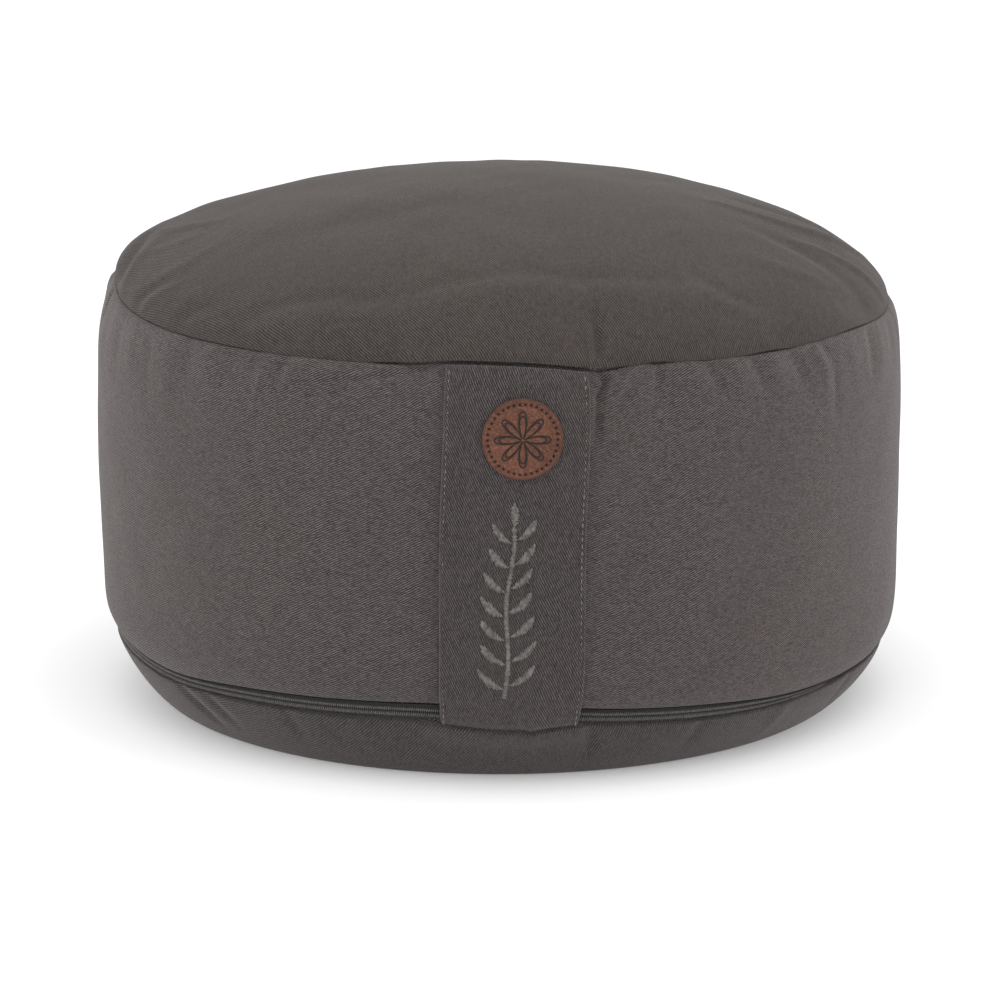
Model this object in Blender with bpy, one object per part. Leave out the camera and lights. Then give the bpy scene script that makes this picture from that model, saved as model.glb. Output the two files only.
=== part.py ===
"""Round meditation cushion: a filled drum of cotton twill with a domed top panel,
a base panel, a coil zip round the foot, a flat carry handle and a small leather patch.

Frame: origin on the floor under the middle of the bounding box, +Z up, the handle on the -Y side.
Azimuth is measured in degrees to the right of the front (-Y) as seen from the front.
Lengths in the tables are millimetres.
"""
import bmesh
import bpy
import math

MM = 0.001

# Main sizes of the cushion, as it stands
WIDEST_RADIUS = 166.2
TOP_SEAM_RADIUS = 162.2
LOW_SEAM_RADIUS = 161.8
FOOT_RADIUS = 141.0
CROWN_RISE = 49.8
CROWN_PLAN_POWER = 2.0
CROWN_RISE_POWER = 1.6
FOOT_POWER = 1.3
LOW_WALL_POWER = 8.0
HIGH_WALL_POWER = 4.5
WIDEST_AT = 0.48
MEAN_TOP_SEAM = 164.8
SEAM_LIFT_POWER = 3.5

# The seams draw the cloth in to a soft groove
TOP_SEAM_REACH = 4.0
CROWN_SEAM_REACH = 9.0
LOW_SEAM_DRAW = 1.0
LOW_SEAM_REACH = 4.0

# Cloth, gaps and fitted pieces
CLOTH = 1.5
GAP = 0.3
UNDER_CLOTH = CLOTH + GAP
SLOT_DEPTH = 3.2
TAPE_THICKNESS = 0.9
COIL_THICKNESS = 1.5
COIL_HEIGHT = 4.2
ZIP_START = -148.0
ZIP_END = 54.0
PLAIN_SLOT = 1.6

# Handle: a folded strip from the top seam to the seam under the zip
STRAP_THICKNESS = 2.4
STRAP_WIDTH = 55.4
STRAP_TOP_AZIMUTH = 2.4
STRAP_LOW_AZIMUTH = 1.4

# Leather patch on the handle
PATCH_RADIUS = 15.0
PATCH_THICKNESS = 1.5
PATCH_AZIMUTH = 3.0
PATCH_HEIGHT = 138.8

# Zip slider and its pull, lying along the zip at the hidden end
SLIDER_LENGTH = 9.0
SLIDER_HEIGHT = 7.0
SLIDER_THICKNESS = 3.0
PULL_LENGTH = 20.0
PULL_HEIGHT = 5.0
PULL_THICKNESS = 1.4

# Number of steps round the cushion
ROUND_STEPS = 72

# The cushion's axis stands behind the origin by half of what the handle and patch add in front
AXIS_BACK = 0.5 * (2 * GAP + STRAP_THICKNESS + PATCH_THICKNESS)

# Seams: azimuth, height of the top seam, height of the zip's upper edge, height of the zip slot,
# how far the top seam draws the cloth in
SEAMS = (
    (-180.0, 164.4, 28.6, 1.6, 3.5),
    (-158.0, 164.8, 29.4, 1.6, 3.5),
    (-144.0, 165.4, 30.0, 5.2, 3.5),
    (-114.0, 169.2, 31.0, 5.6, 3.8),
    (-97.0, 171.6, 31.1, 5.4, 4.6),
    (-76.0, 168.6, 30.8, 4.8, 5.0),
    (-54.0, 166.6, 28.3, 4.8, 3.8),
    (-38.0, 165.3, 30.6, 6.4, 3.5),
    (-9.0, 164.8, 33.4, 7.6, 3.5),
    (12.0, 163.6, 31.0, 6.8, 3.5),
    (30.0, 162.7, 27.4, 6.8, 3.5),
    (44.0, 162.9, 24.5, 3.8, 3.5),
    (58.0, 163.8, 24.0, 2.2, 3.5),
    (78.0, 161.8, 24.8, 1.6, 3.5),
    (98.0, 163.6, 26.0, 1.6, 3.5),
    (120.0, 163.8, 26.8, 1.6, 3.5),
    (145.0, 164.4, 27.6, 1.6, 3.5),
)

# Folds of the crown: start x, y, middle x, y, end x, y, height, half width (ridge +, hollow -)
CROWN_FOLDS = (
    (-103.0, -126.0, -74.0, -135.0, -45.0, -143.0, 1.2, 8.0),
    (-50.0, -143.0, -18.0, -141.0, 14.0, -134.0, 1.2, 8.0),
    (6.0, -133.0, 42.0, -131.0, 84.0, -118.0, 1.2, 8.0),
    (-146.0, -62.0, -128.0, -66.0, -111.0, -57.0, 1.5, 7.0),
    (-149.0, -69.0, -139.0, -71.0, -131.0, -74.0, -1.4, 6.0),
    (-155.0, -34.0, -151.0, -17.0, -146.0, -2.0, -2.6, 7.0),
    (88.0, -18.0, 120.0, -17.0, 150.0, 6.0, 1.6, 7.0),
    (100.0, -45.0, 122.0, -50.0, 144.0, -58.0, -1.4, 8.0),
    (137.0, -75.0, 146.0, -64.0, 152.0, -52.0, -1.4, 7.0),
    (-72.0, -73.0, -43.0, -63.0, -16.0, -54.0, -0.8, 10.0),
    (37.0, -136.0, 39.0, -146.0, 41.0, -156.0, -1.4, 7.0),
    (-66.0, 118.0, 0.0, 127.0, 72.0, 112.0, 1.4, 10.0),
    (112.0, 64.0, 130.0, 56.0, 148.0, 50.0, 1.4, 8.0),
    (-108.0, 76.0, -128.0, 66.0, -144.0, 56.0, 1.4, 8.0),
)

# Puckers of the wall: start azimuth, level, end azimuth, level, height, half width
# (level 0 is the zip, 1 is the top seam)
WALL_FOLDS = (
    (-106.0, 0.93, -72.0, 0.93, -1.2, 9.0),
    (-106.0, 0.72, -74.0, 0.72, -0.9, 18.0),
    (-68.0, 1.00, -67.0, 0.82, -1.2, 7.0),
    (-57.0, 1.00, -56.5, 0.82, -1.2, 7.0),
    (-34.0, 1.00, -33.0, 0.58, -1.4, 7.0),
    (-20.0, 1.00, -20.0, 0.88, -1.0, 6.0),
    (15.0, 1.00, 14.4, 0.76, -1.8, 7.0),
    (29.4, 1.00, 28.6, 0.88, -1.4, 7.0),
    (43.8, 1.00, 42.6, 0.88, -1.6, 7.0),
    (65.6, 1.00, 63.5, 0.84, -1.6, 7.0),
    (100.0, 1.00, 101.0, 0.84, -1.6, 7.0),
    (135.0, 1.00, 134.0, 0.86, -1.6, 7.0),
    (170.0, 1.00, 171.0, 0.84, -1.6, 7.0),
    (-150.0, 1.00, -149.0, 0.84, -1.6, 7.0),
    (-122.0, 1.00, -121.0, 0.86, -1.6, 7.0),
)


def seam_value(azimuth, column):
    """A smooth closed curve through one column of the seam table."""
    rows = SEAMS
    count = len(rows)
    angle = (azimuth + 180.0) % 360.0 - 180.0
    index = 0
    for number in range(count):
        if rows[number][0] <= angle:
            index = number

    def row(number):
        turn, place = divmod(number, count)
        return rows[place][0] + 360.0 * turn, rows[place][column]

    before, first, second, after = (row(index + step) for step in (-1, 0, 1, 2))
    span = second[0] - first[0]
    part = (angle - first[0]) / span
    slope_a = (second[1] - before[1]) / (second[0] - before[0]) * span
    slope_b = (after[1] - first[1]) / (after[0] - first[0]) * span
    square = part * part
    cube = square * part
    value = first[1] * (2 * cube - 3 * square + 1) + slope_a * (cube - 2 * square + part)
    return value + second[1] * (3 * square - 2 * cube) + slope_b * (cube - square)


def top_seam(azimuth):
    return seam_value(azimuth, 1)


def zip_edge(azimuth):
    return seam_value(azimuth, 2)


def slot_height(azimuth):
    return max(PLAIN_SLOT, seam_value(azimuth, 3))


def seam_draw(azimuth):
    return seam_value(azimuth, 4)


def foot_profile(azimuth, level):
    """Level 0 is the floor, 1 the upper edge of the zip."""
    high = zip_edge(azimuth)
    height = level * high
    swell = (1.0 - (1.0 - level) ** FOOT_POWER) ** (1.0 / FOOT_POWER)
    radius = FOOT_RADIUS + (LOW_SEAM_RADIUS - FOOT_RADIUS) * swell
    radius -= LOW_SEAM_DRAW * level * math.exp(-(high - height) / LOW_SEAM_REACH)
    return radius, height


def wall_profile(azimuth, level):
    """Level 0 is the upper edge of the zip, 1 the top seam."""
    low = zip_edge(azimuth)
    high = top_seam(azimuth)
    height = low + level * (high - low)
    if level > WIDEST_AT:
        end = TOP_SEAM_RADIUS
        part = (level - WIDEST_AT) / (1.0 - WIDEST_AT)
        power = HIGH_WALL_POWER
    else:
        end = LOW_SEAM_RADIUS
        part = (WIDEST_AT - level) / WIDEST_AT
        power = LOW_WALL_POWER
    radius = end + (WIDEST_RADIUS - end) * (1.0 - part ** power)
    radius -= seam_draw(azimuth) * math.exp(-(high - height) / TOP_SEAM_REACH)
    radius -= LOW_SEAM_DRAW * math.exp(-(height - low) / LOW_SEAM_REACH)
    return radius, height


def crown_profile(azimuth, level):
    """Level 0 is the top seam, 1 the middle of the crown."""
    angle = level * math.pi / 2
    share = max(math.cos(angle), 0.0) ** (2.0 / CROWN_PLAN_POWER)
    rise = CROWN_RISE * math.sin(angle) ** (2.0 / CROWN_RISE_POWER)
    radius = TOP_SEAM_RADIUS * share
    radius -= seam_draw(azimuth) * math.exp(-rise / CROWN_SEAM_REACH) * share
    lift = (top_seam(azimuth) - MEAN_TOP_SEAM) * share ** SEAM_LIFT_POWER
    return radius, MEAN_TOP_SEAM + lift + rise


PROFILES = {"foot": foot_profile, "wall": wall_profile, "crown": crown_profile}


def place(azimuth, radius, height):
    turn = math.radians(azimuth)
    return (radius * math.sin(turn), -radius * math.cos(turn), height)


def profile_normal(zone, azimuth, level):
    """Outward direction of the profile, in the plane through the axis."""
    step = 0.004
    below = PROFILES[zone](azimuth, max(level - step, 0.0))
    above = PROFILES[zone](azimuth, min(level + step, 1.0))
    along = (above[0] - below[0], above[1] - below[1])
    length = math.hypot(*along)
    return along[1] / length, -along[0] / length


def bell(distance, half_width):
    return math.exp(-((distance / half_width) ** 2))


def curve_points(start, middle, end, count=9):
    """Points on the curve through three points."""
    points = []
    for number in range(count):
        part = number / (count - 1)
        weight_a = (1 - part) * (1 - 2 * part)
        weight_b = 4 * part * (1 - part)
        weight_c = part * (2 * part - 1)
        corners = zip(start, middle, end)
        points.append(tuple(weight_a * a + weight_b * b + weight_c * c for a, b, c in corners))
    return points


def fold_share(point, path):
    """Least distance to the path, and how far along it that is."""
    best = (1e9, 0.0)
    count = len(path) - 1
    for number in range(count):
        a = path[number]
        b = path[number + 1]
        along = [q - p for p, q in zip(a, b)]
        size = sum(v * v for v in along)
        part = sum((w - p) * v for w, p, v in zip(point, a, along)) / size
        part = min(max(part, 0.0), 1.0)
        gap = math.dist(point, [p + v * part for p, v in zip(a, along)])
        if gap < best[0]:
            best = (gap, (number + part) / count)
    return best


CROWN_PATHS = [(curve_points(row[0:2], row[2:4], row[4:6]), row[6], row[7]) for row in CROWN_FOLDS]


def fold_height(zone, azimuth, point, level):
    total = 0.0
    if zone == "crown":
        for path, height, half_width in CROWN_PATHS:
            distance, along = fold_share(point[:2], path)
            fade = math.sin(math.pi * (0.12 + 0.76 * along)) ** 0.7
            total += height * fade * bell(distance, half_width)
    if zone == "wall":
        girth = math.radians(1.0) * WIDEST_RADIUS
        tall = top_seam(azimuth) - zip_edge(azimuth)
        here = (azimuth * girth, level * tall)
        for row in WALL_FOLDS:
            path = [(row[0] * girth, row[1] * tall), (row[2] * girth, row[3] * tall)]
            distance, along = fold_share(here, path)
            fade = math.sin(math.pi * (0.12 + 0.76 * along)) ** 0.7
            total += row[4] * fade * bell(distance, row[5])
    return total


def skin(zone, azimuth, level, inset=0.0):
    """A point of the cushion's outer face, moved in by the inset, in metres."""
    radius, height = PROFILES[zone](azimuth, level)
    flat = place(azimuth, radius, height)
    normal_r, normal_z = profile_normal(zone, azimuth, level)
    out = fold_height(zone, azimuth, flat, level) - inset
    x, y, z = place(azimuth, radius + normal_r * out, height + normal_z * out)
    return (x * MM, y * MM, z * MM)


def clear_scene():
    for thing in list(bpy.data.objects):
        bpy.data.objects.remove(thing, do_unlink=True)


def make_material(name, colour, roughness, metallic=0.0, sheen=0.0):
    material = bpy.data.materials.new(name)
    material.use_nodes = True
    shader = material.node_tree.nodes["Principled BSDF"]
    shader.inputs["Base Color"].default_value = (*colour, 1.0)
    shader.inputs["Roughness"].default_value = roughness
    shader.inputs["Metallic"].default_value = metallic
    shader.inputs["Sheen Weight"].default_value = sheen
    material.diffuse_color = (*colour, 1.0)
    return material


def add_solid(name, points, faces, material, smooth_angle=35.0):
    """One closed mesh object, its faces pointing out, smooth but for its edges."""
    mesh = bpy.data.meshes.new(name)
    mesh.from_pydata(points, [], faces)
    work = bmesh.new()
    work.from_mesh(mesh)
    bmesh.ops.recalc_face_normals(work, faces=work.faces)
    work.to_mesh(mesh)
    work.free()
    mesh.materials.append(material)
    mesh.shade_smooth()
    mesh.set_sharp_from_angle(angle=math.radians(smooth_angle))
    solid = bpy.data.objects.new(name, mesh)
    solid.location = (0.0, AXIS_BACK * MM, 0.0)
    bpy.context.scene.collection.objects.link(solid)
    return solid


def ring_solid(name, first_point, rings, last_point, material, smooth_angle=35.0):
    """A closed solid from a pole, through rings of points, to a second pole."""
    count = len(rings[0])
    points = [first_point]
    for ring in rings:
        points.extend(ring)
    points.append(last_point)
    last = len(points) - 1
    faces = []
    for step in range(count):
        after = (step + 1) % count
        faces.append((0, 1 + step, 1 + after))
        for level in range(len(rings) - 1):
            low = 1 + level * count
            high = low + count
            faces.append((low + step, high + step, high + after, low + after))
        top = 1 + (len(rings) - 1) * count
        faces.append((top + step, last, top + after))
    return add_solid(name, points, faces, material, smooth_angle)


def slab_solid(name, outer, inner, material, smooth_angle=35.0):
    """A closed strip between two grids of points with the same rows and columns."""
    rows = len(outer)
    columns = len(outer[0])
    size = rows * columns
    points = [point for row in outer for point in row] + [point for row in inner for point in row]
    faces = []
    for row in range(rows - 1):
        for column in range(columns - 1):
            a = row * columns + column
            b = a + 1
            c = b + columns
            d = a + columns
            faces.append((a, b, c, d))
            faces.append((a + size, d + size, c + size, b + size))
    rim = [column for column in range(columns)]
    rim += [row * columns + columns - 1 for row in range(1, rows)]
    rim += [(rows - 1) * columns + column for column in range(columns - 2, -1, -1)]
    rim += [row * columns for row in range(rows - 2, 0, -1)]
    for place_now, point in enumerate(rim):
        after = rim[(place_now + 1) % len(rim)]
        faces.append((point, point + size, after + size, after))
    return add_solid(name, points, faces, material, smooth_angle)


def azimuth_steps():
    return [-180.0 + 360.0 * step / ROUND_STEPS for step in range(ROUND_STEPS)]


def skin_ring(zone, level, inset):
    """A ring round the cushion; the level is a number or a function of the azimuth."""
    ring = []
    for azimuth in azimuth_steps():
        here = level(azimuth) if callable(level) else level
        ring.append(skin(zone, azimuth, here, inset))
    return ring


def floor_ring(share, height):
    ring = []
    for azimuth in azimuth_steps():
        x, y, z = place(azimuth, FOOT_RADIUS * share, height)
        ring.append((x * MM, y * MM, z * MM))
    return ring


def slot_floor(azimuth):
    """Level on the foot of the slot's lower edge."""
    return 1.0 - slot_height(azimuth) / zip_edge(azimuth)


def foot_level(share):
    """Part of the way from the floor to the slot's lower edge."""
    return lambda azimuth: share * slot_floor(azimuth)


# Levels of the rings
CROWN_LEVELS = (0.0, 0.045, 0.11, 0.19, 0.28, 0.38, 0.48, 0.59, 0.70, 0.81, 0.91)
WALL_LEVELS = (0.02, 0.07, 0.16, 0.29, 0.43, 0.57, 0.71, 0.82, 0.90, 0.955, 0.985, 1.0)
FOOT_SHARES = (0.08, 0.26, 0.52, 0.78, 0.93, 1.0)
FLOOR_SHARES = (0.4, 0.8, 1.0)


def crown_middle(inset):
    return (0.0, 0.0, (MEAN_TOP_SEAM + CROWN_RISE - inset) * MM)


def build_body(material):
    rings = [floor_ring(share, UNDER_CLOTH) for share in FLOOR_SHARES]
    rings += [skin_ring("foot", foot_level(share), UNDER_CLOTH) for share in FOOT_SHARES]
    rings.append(skin_ring("foot", slot_floor, SLOT_DEPTH))
    rings.append(skin_ring("wall", 0.0, SLOT_DEPTH))
    rings += [skin_ring("wall", level, 0.0) for level in (0.0,) + WALL_LEVELS]
    rings += [skin_ring("crown", level, UNDER_CLOTH) for level in CROWN_LEVELS]
    low = (0.0, 0.0, UNDER_CLOTH * MM)
    return ring_solid("filled_body", low, rings, crown_middle(UNDER_CLOTH), material)


def build_top_panel(material):
    levels = list(CROWN_LEVELS)
    outer = [skin_ring("crown", level, 0.0) for level in reversed(levels)]
    inner = [skin_ring("crown", level, CLOTH) for level in levels]
    lift = GAP * MM
    outer[-1] = [(x, y, z + lift) for x, y, z in outer[-1]]
    inner[0] = [(x, y, z + lift) for x, y, z in inner[0]]
    return ring_solid("top_panel", crown_middle(0.0), outer + inner, crown_middle(CLOTH), material)


def build_base_panel(material):
    outer = [floor_ring(share, 0.0) for share in FLOOR_SHARES]
    outer += [skin_ring("foot", foot_level(share), 0.0) for share in FOOT_SHARES]
    inner = [skin_ring("foot", foot_level(share), CLOTH) for share in reversed(FOOT_SHARES)]
    inner += [floor_ring(share, CLOTH) for share in reversed(FLOOR_SHARES)]
    middle = (0.0, 0.0, CLOTH * MM)
    return ring_solid("base_panel", (0.0, 0.0, 0.0), outer + inner, middle, material)


def zip_azimuths():
    count = round((ZIP_END - ZIP_START) / (360.0 / ROUND_STEPS))
    return [ZIP_START + (ZIP_END - ZIP_START) * step / count for step in range(count + 1)]


def zip_strip(name, height_of, outer_inset, thickness, material):
    """A strip along the middle of the slot."""
    outer = []
    inner = []
    for azimuth in zip_azimuths():
        tall = zip_edge(azimuth)
        middle = 1.0 - 0.5 * slot_height(azimuth) / tall
        half = 0.5 * height_of(azimuth) / tall
        levels = (middle - half, middle, middle + half)
        outer.append([skin("foot", azimuth, level, outer_inset) for level in levels])
        inner.append([skin("foot", azimuth, level, outer_inset + thickness) for level in levels])
    return slab_solid(name, outer, inner, material)


def tape_height(azimuth):
    return slot_height(azimuth) - 0.8


def coil_height(azimuth):
    return min(COIL_HEIGHT, slot_height(azimuth) - 1.0)


def build_zip(tape_material, coil_material):
    tape_inset = SLOT_DEPTH - GAP - TAPE_THICKNESS
    coil_inset = tape_inset - GAP - COIL_THICKNESS
    zip_strip("zip_tape", tape_height, tape_inset, TAPE_THICKNESS, tape_material)
    zip_strip("zip_coil", coil_height, coil_inset, COIL_THICKNESS, coil_material)


def strap_place(down, across):
    """Zone, azimuth and level on the strap: down 0 at the top seam to 1 at the base panel."""
    middle = STRAP_TOP_AZIMUTH + (STRAP_LOW_AZIMUTH - STRAP_TOP_AZIMUTH) * down
    azimuth = middle + math.degrees(across / WIDEST_RADIUS)
    tall = top_seam(azimuth) - zip_edge(azimuth)
    low = zip_edge(azimuth) * (1.0 - slot_floor(azimuth)) - GAP
    distance = down * (tall + low)
    if distance < tall:
        return "wall", azimuth, 1.0 - distance / tall
    return "foot", azimuth, 1.0 - (distance - tall) / zip_edge(azimuth)


STRAP_ROWS = (0.018, 0.036, 0.07, 0.13, 0.22, 0.33, 0.45, 0.57, 0.69, 0.79, 0.87, 0.93, 0.965, 1.0)
STRAP_COLUMNS = (-0.5, -0.44, -0.22, 0.0, 0.22, 0.44, 0.5)


def strap_thickness(down):
    """The folded strip is pressed thinner where it runs into its two seams."""
    end = min(down, 1.0 - down) * 145.0
    return STRAP_THICKNESS * (1.0 - 0.45 * math.exp(-end / 5.0))


def build_strap(material):
    outer = []
    inner = []
    for down in STRAP_ROWS:
        thickness = strap_thickness(down)
        outer_row = []
        inner_row = []
        for share in STRAP_COLUMNS:
            zone, azimuth, level = strap_place(down, share * STRAP_WIDTH)
            edge = 0.35 if abs(share) == 0.5 else 0.0
            outer_row.append(skin(zone, azimuth, level, -GAP - thickness + edge))
            inner_row.append(skin(zone, azimuth, level, -GAP))
        outer.append(outer_row)
        inner.append(inner_row)
    return slab_solid("handle_strap", outer, inner, material)


def patch_point(radius, turn, offset):
    """A point of the patch, bent round the strap's face."""
    across = radius * math.cos(turn)
    up = radius * math.sin(turn)
    azimuth = PATCH_AZIMUTH + math.degrees(across / WIDEST_RADIUS)
    low = zip_edge(azimuth)
    level = (PATCH_HEIGHT + up - low) / (top_seam(azimuth) - low)
    return skin("wall", azimuth, level, -GAP - STRAP_THICKNESS - offset)


def build_patch(material):
    steps = 40
    turns = [math.tau * step / steps for step in range(steps)]

    def ring(radius, offset):
        return [patch_point(radius, turn, offset) for turn in turns]

    face = GAP + PATCH_THICKNESS
    edge = PATCH_RADIUS - 0.4
    rings = [ring(0.5 * PATCH_RADIUS, face), ring(edge, face), ring(PATCH_RADIUS, face - 0.4)]
    rings += [ring(PATCH_RADIUS, GAP), ring(0.5 * PATCH_RADIUS, GAP)]
    middle = patch_point(0.0, 0.0, face)
    return ring_solid("leather_patch", middle, rings, patch_point(0.0, 0.0, GAP), material)


def build_slider(material):
    """Slider body and pull in one closed solid, lying over the zip at its hidden end."""
    girth = math.degrees(1.0 / LOW_SEAM_RADIUS)
    stops = (
        (0.0, SLIDER_HEIGHT - 1.6, SLIDER_THICKNESS - 0.8),
        (1.2, SLIDER_HEIGHT, SLIDER_THICKNESS),
        (SLIDER_LENGTH, SLIDER_HEIGHT, SLIDER_THICKNESS),
        (SLIDER_LENGTH + 1.0, PULL_HEIGHT, PULL_THICKNESS),
        (SLIDER_LENGTH + 0.5 * PULL_LENGTH, PULL_HEIGHT, PULL_THICKNESS),
        (SLIDER_LENGTH + PULL_LENGTH - 1.2, PULL_HEIGHT, PULL_THICKNESS),
        (SLIDER_LENGTH + PULL_LENGTH, PULL_HEIGHT - 1.8, PULL_THICKNESS),
    )
    outer = []
    inner = []
    for along, height, thickness in stops:
        azimuth = ZIP_START + (1.0 + along) * girth
        tall = zip_edge(azimuth)
        middle = tall - 0.5 * slot_height(azimuth)
        outer_row = []
        inner_row = []
        for side in (-1.0, 1.0):
            up = middle + side * 0.5 * height
            if up <= tall:
                spot = ("foot", azimuth, up / tall)
            else:
                spot = ("wall", azimuth, (up - tall) / (top_seam(azimuth) - tall))
            outer_row.append(skin(*spot, -GAP - 0.4 - thickness))
            inner_row.append(skin(*spot, -GAP - 0.4))
        outer.append(outer_row)
        inner.append(inner_row)
    return slab_solid("zip_slider", outer, inner, material)


def build():
    clear_scene()
    twill = make_material("charcoal_twill", (0.085, 0.075, 0.071), 0.92, sheen=0.3)
    strap_twill = make_material("charcoal_twill_strap", (0.070, 0.063, 0.060), 0.92, sheen=0.3)
    leather = make_material("brown_leather", (0.125, 0.060, 0.044), 0.55)
    tape = make_material("zip_tape_cloth", (0.045, 0.042, 0.041), 0.9)
    coil = make_material("zip_coil_plastic", (0.060, 0.056, 0.054), 0.45)
    metal = make_material("dark_zip_metal", (0.12, 0.11, 0.10), 0.35, metallic=1.0)
    build_body(twill)
    build_top_panel(twill)
    build_base_panel(twill)
    build_zip(tape, coil)
    build_slider(metal)
    build_strap(strap_twill)
    build_patch(leather)


build()
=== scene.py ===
import math

import bpy
import numpy as np
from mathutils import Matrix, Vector


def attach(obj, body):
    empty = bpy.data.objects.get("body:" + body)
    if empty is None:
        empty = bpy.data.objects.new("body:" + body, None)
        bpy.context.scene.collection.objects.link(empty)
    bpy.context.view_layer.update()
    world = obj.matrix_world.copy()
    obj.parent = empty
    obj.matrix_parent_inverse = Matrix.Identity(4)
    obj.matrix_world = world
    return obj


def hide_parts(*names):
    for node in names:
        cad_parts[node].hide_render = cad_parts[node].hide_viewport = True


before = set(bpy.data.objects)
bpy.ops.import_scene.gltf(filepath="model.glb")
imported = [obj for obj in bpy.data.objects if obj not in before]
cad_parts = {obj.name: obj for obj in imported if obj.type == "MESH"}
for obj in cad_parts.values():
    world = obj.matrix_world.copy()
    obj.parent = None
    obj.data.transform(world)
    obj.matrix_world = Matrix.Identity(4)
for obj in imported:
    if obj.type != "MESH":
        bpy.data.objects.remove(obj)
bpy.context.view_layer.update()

MM = 0.001

# Sizes shared with the solids
WIDEST_RADIUS = 166.2
TOP_SEAM_RADIUS = 162.2
LOW_SEAM_RADIUS = 161.8
FOOT_RADIUS = 141.0
CROWN_RISE = 49.8
CROWN_PLAN_POWER = 2.0
CROWN_RISE_POWER = 1.6
FOOT_POWER = 1.3
LOW_WALL_POWER = 8.0
HIGH_WALL_POWER = 4.5
WIDEST_AT = 0.48
MEAN_TOP_SEAM = 164.8
SEAM_LIFT_POWER = 3.5
CROWN_SEAM_REACH = 9.0
LOW_SEAM_DRAW = 1.0
LOW_SEAM_REACH = 4.0
CLOTH = 1.5
GAP = 0.3
UNDER_CLOTH = CLOTH + GAP
SLOT_DEPTH = 3.2
PLAIN_SLOT = 0.8
ZIP_START = -148.0
ZIP_END = 54.0
STRAP_THICKNESS = 2.4
STRAP_WIDTH = 55.4
STRAP_LENGTH = 144.0
STRAP_TUCK = 2.6
STRAP_HIGH = 165.0
STRAP_DROP = 140.0
# How far the cloth stands out over the handle's upper end and over its lower one
CROWN_LIP = 1.9
BASE_LIP = 2.0
STRAP_TOP_AZIMUTH = 2.4
STRAP_LOW_AZIMUTH = 1.4
PATCH_RADIUS = 15.0
PATCH_THICKNESS = 1.5
PATCH_AZIMUTH = 3.0
PATCH_HEIGHT = 138.8
AXIS_BACK = 0.5 * (2 * GAP + STRAP_THICKNESS + PATCH_THICKNESS)
GIRTH = math.radians(1.0) * WIDEST_RADIUS

# Steps round the cushion, closest at the front, where the small puckers are
AZIMUTHS = np.concatenate([
    np.linspace(-180.0, -64.0, 174, endpoint=False),
    np.linspace(-64.0, 64.0, 412, endpoint=False),
    np.linspace(64.0, 180.0, 174, endpoint=False),
])

# Seams: azimuth, height of the top seam, height of the zip's upper edge, height of the zip slot,
# how far the top seam draws the cloth in
SEAMS = (
    (-180, 164.4, 28.6, 0.8, 3.5),
    (-158, 164.8, 29.4, 0.8, 3.5),
    (-144, 165.4, 30, 5.2, 3.8),
    (-114, 169.6, 31, 5.6, 5.2),
    (-97, 173.8, 31.1, 5.4, 5),
    (-76, 169, 30.8, 4.8, 4.4),
    (-54, 166.2, 28.3, 4.8, 2.4),
    (-38, 165.5, 30.6, 6.4, 1.7),
    (-26, 165.4, 31.9, 7, 1.1),
    (-15, 164.9, 33, 7.4, 2.8),
    (-8, 166.5, 33.4, 7.6, 3.3),
    (1, 166.3, 32.6, 7.3, 3.3),
    (7, 165, 31.8, 7, 3.3),
    (12, 163.2, 31, 6.8, 3.5),
    (15, 162.5, 30.3, 6.8, 3.6),
    (20, 164, 29.3, 6.8, 2.2),
    (30, 163.4, 27.4, 6.6, 1.6),
    (44, 163.2, 24.5, 3.8, 1.6),
    (58, 163.8, 24, 1.7, 2),
    (78, 162.2, 24.8, 0.8, 2.3),
    (98, 165, 26, 0.8, 2.2),
    (120, 164, 26.8, 0.8, 3),
    (145, 164.4, 27.6, 0.8, 3.5),
)

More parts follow.
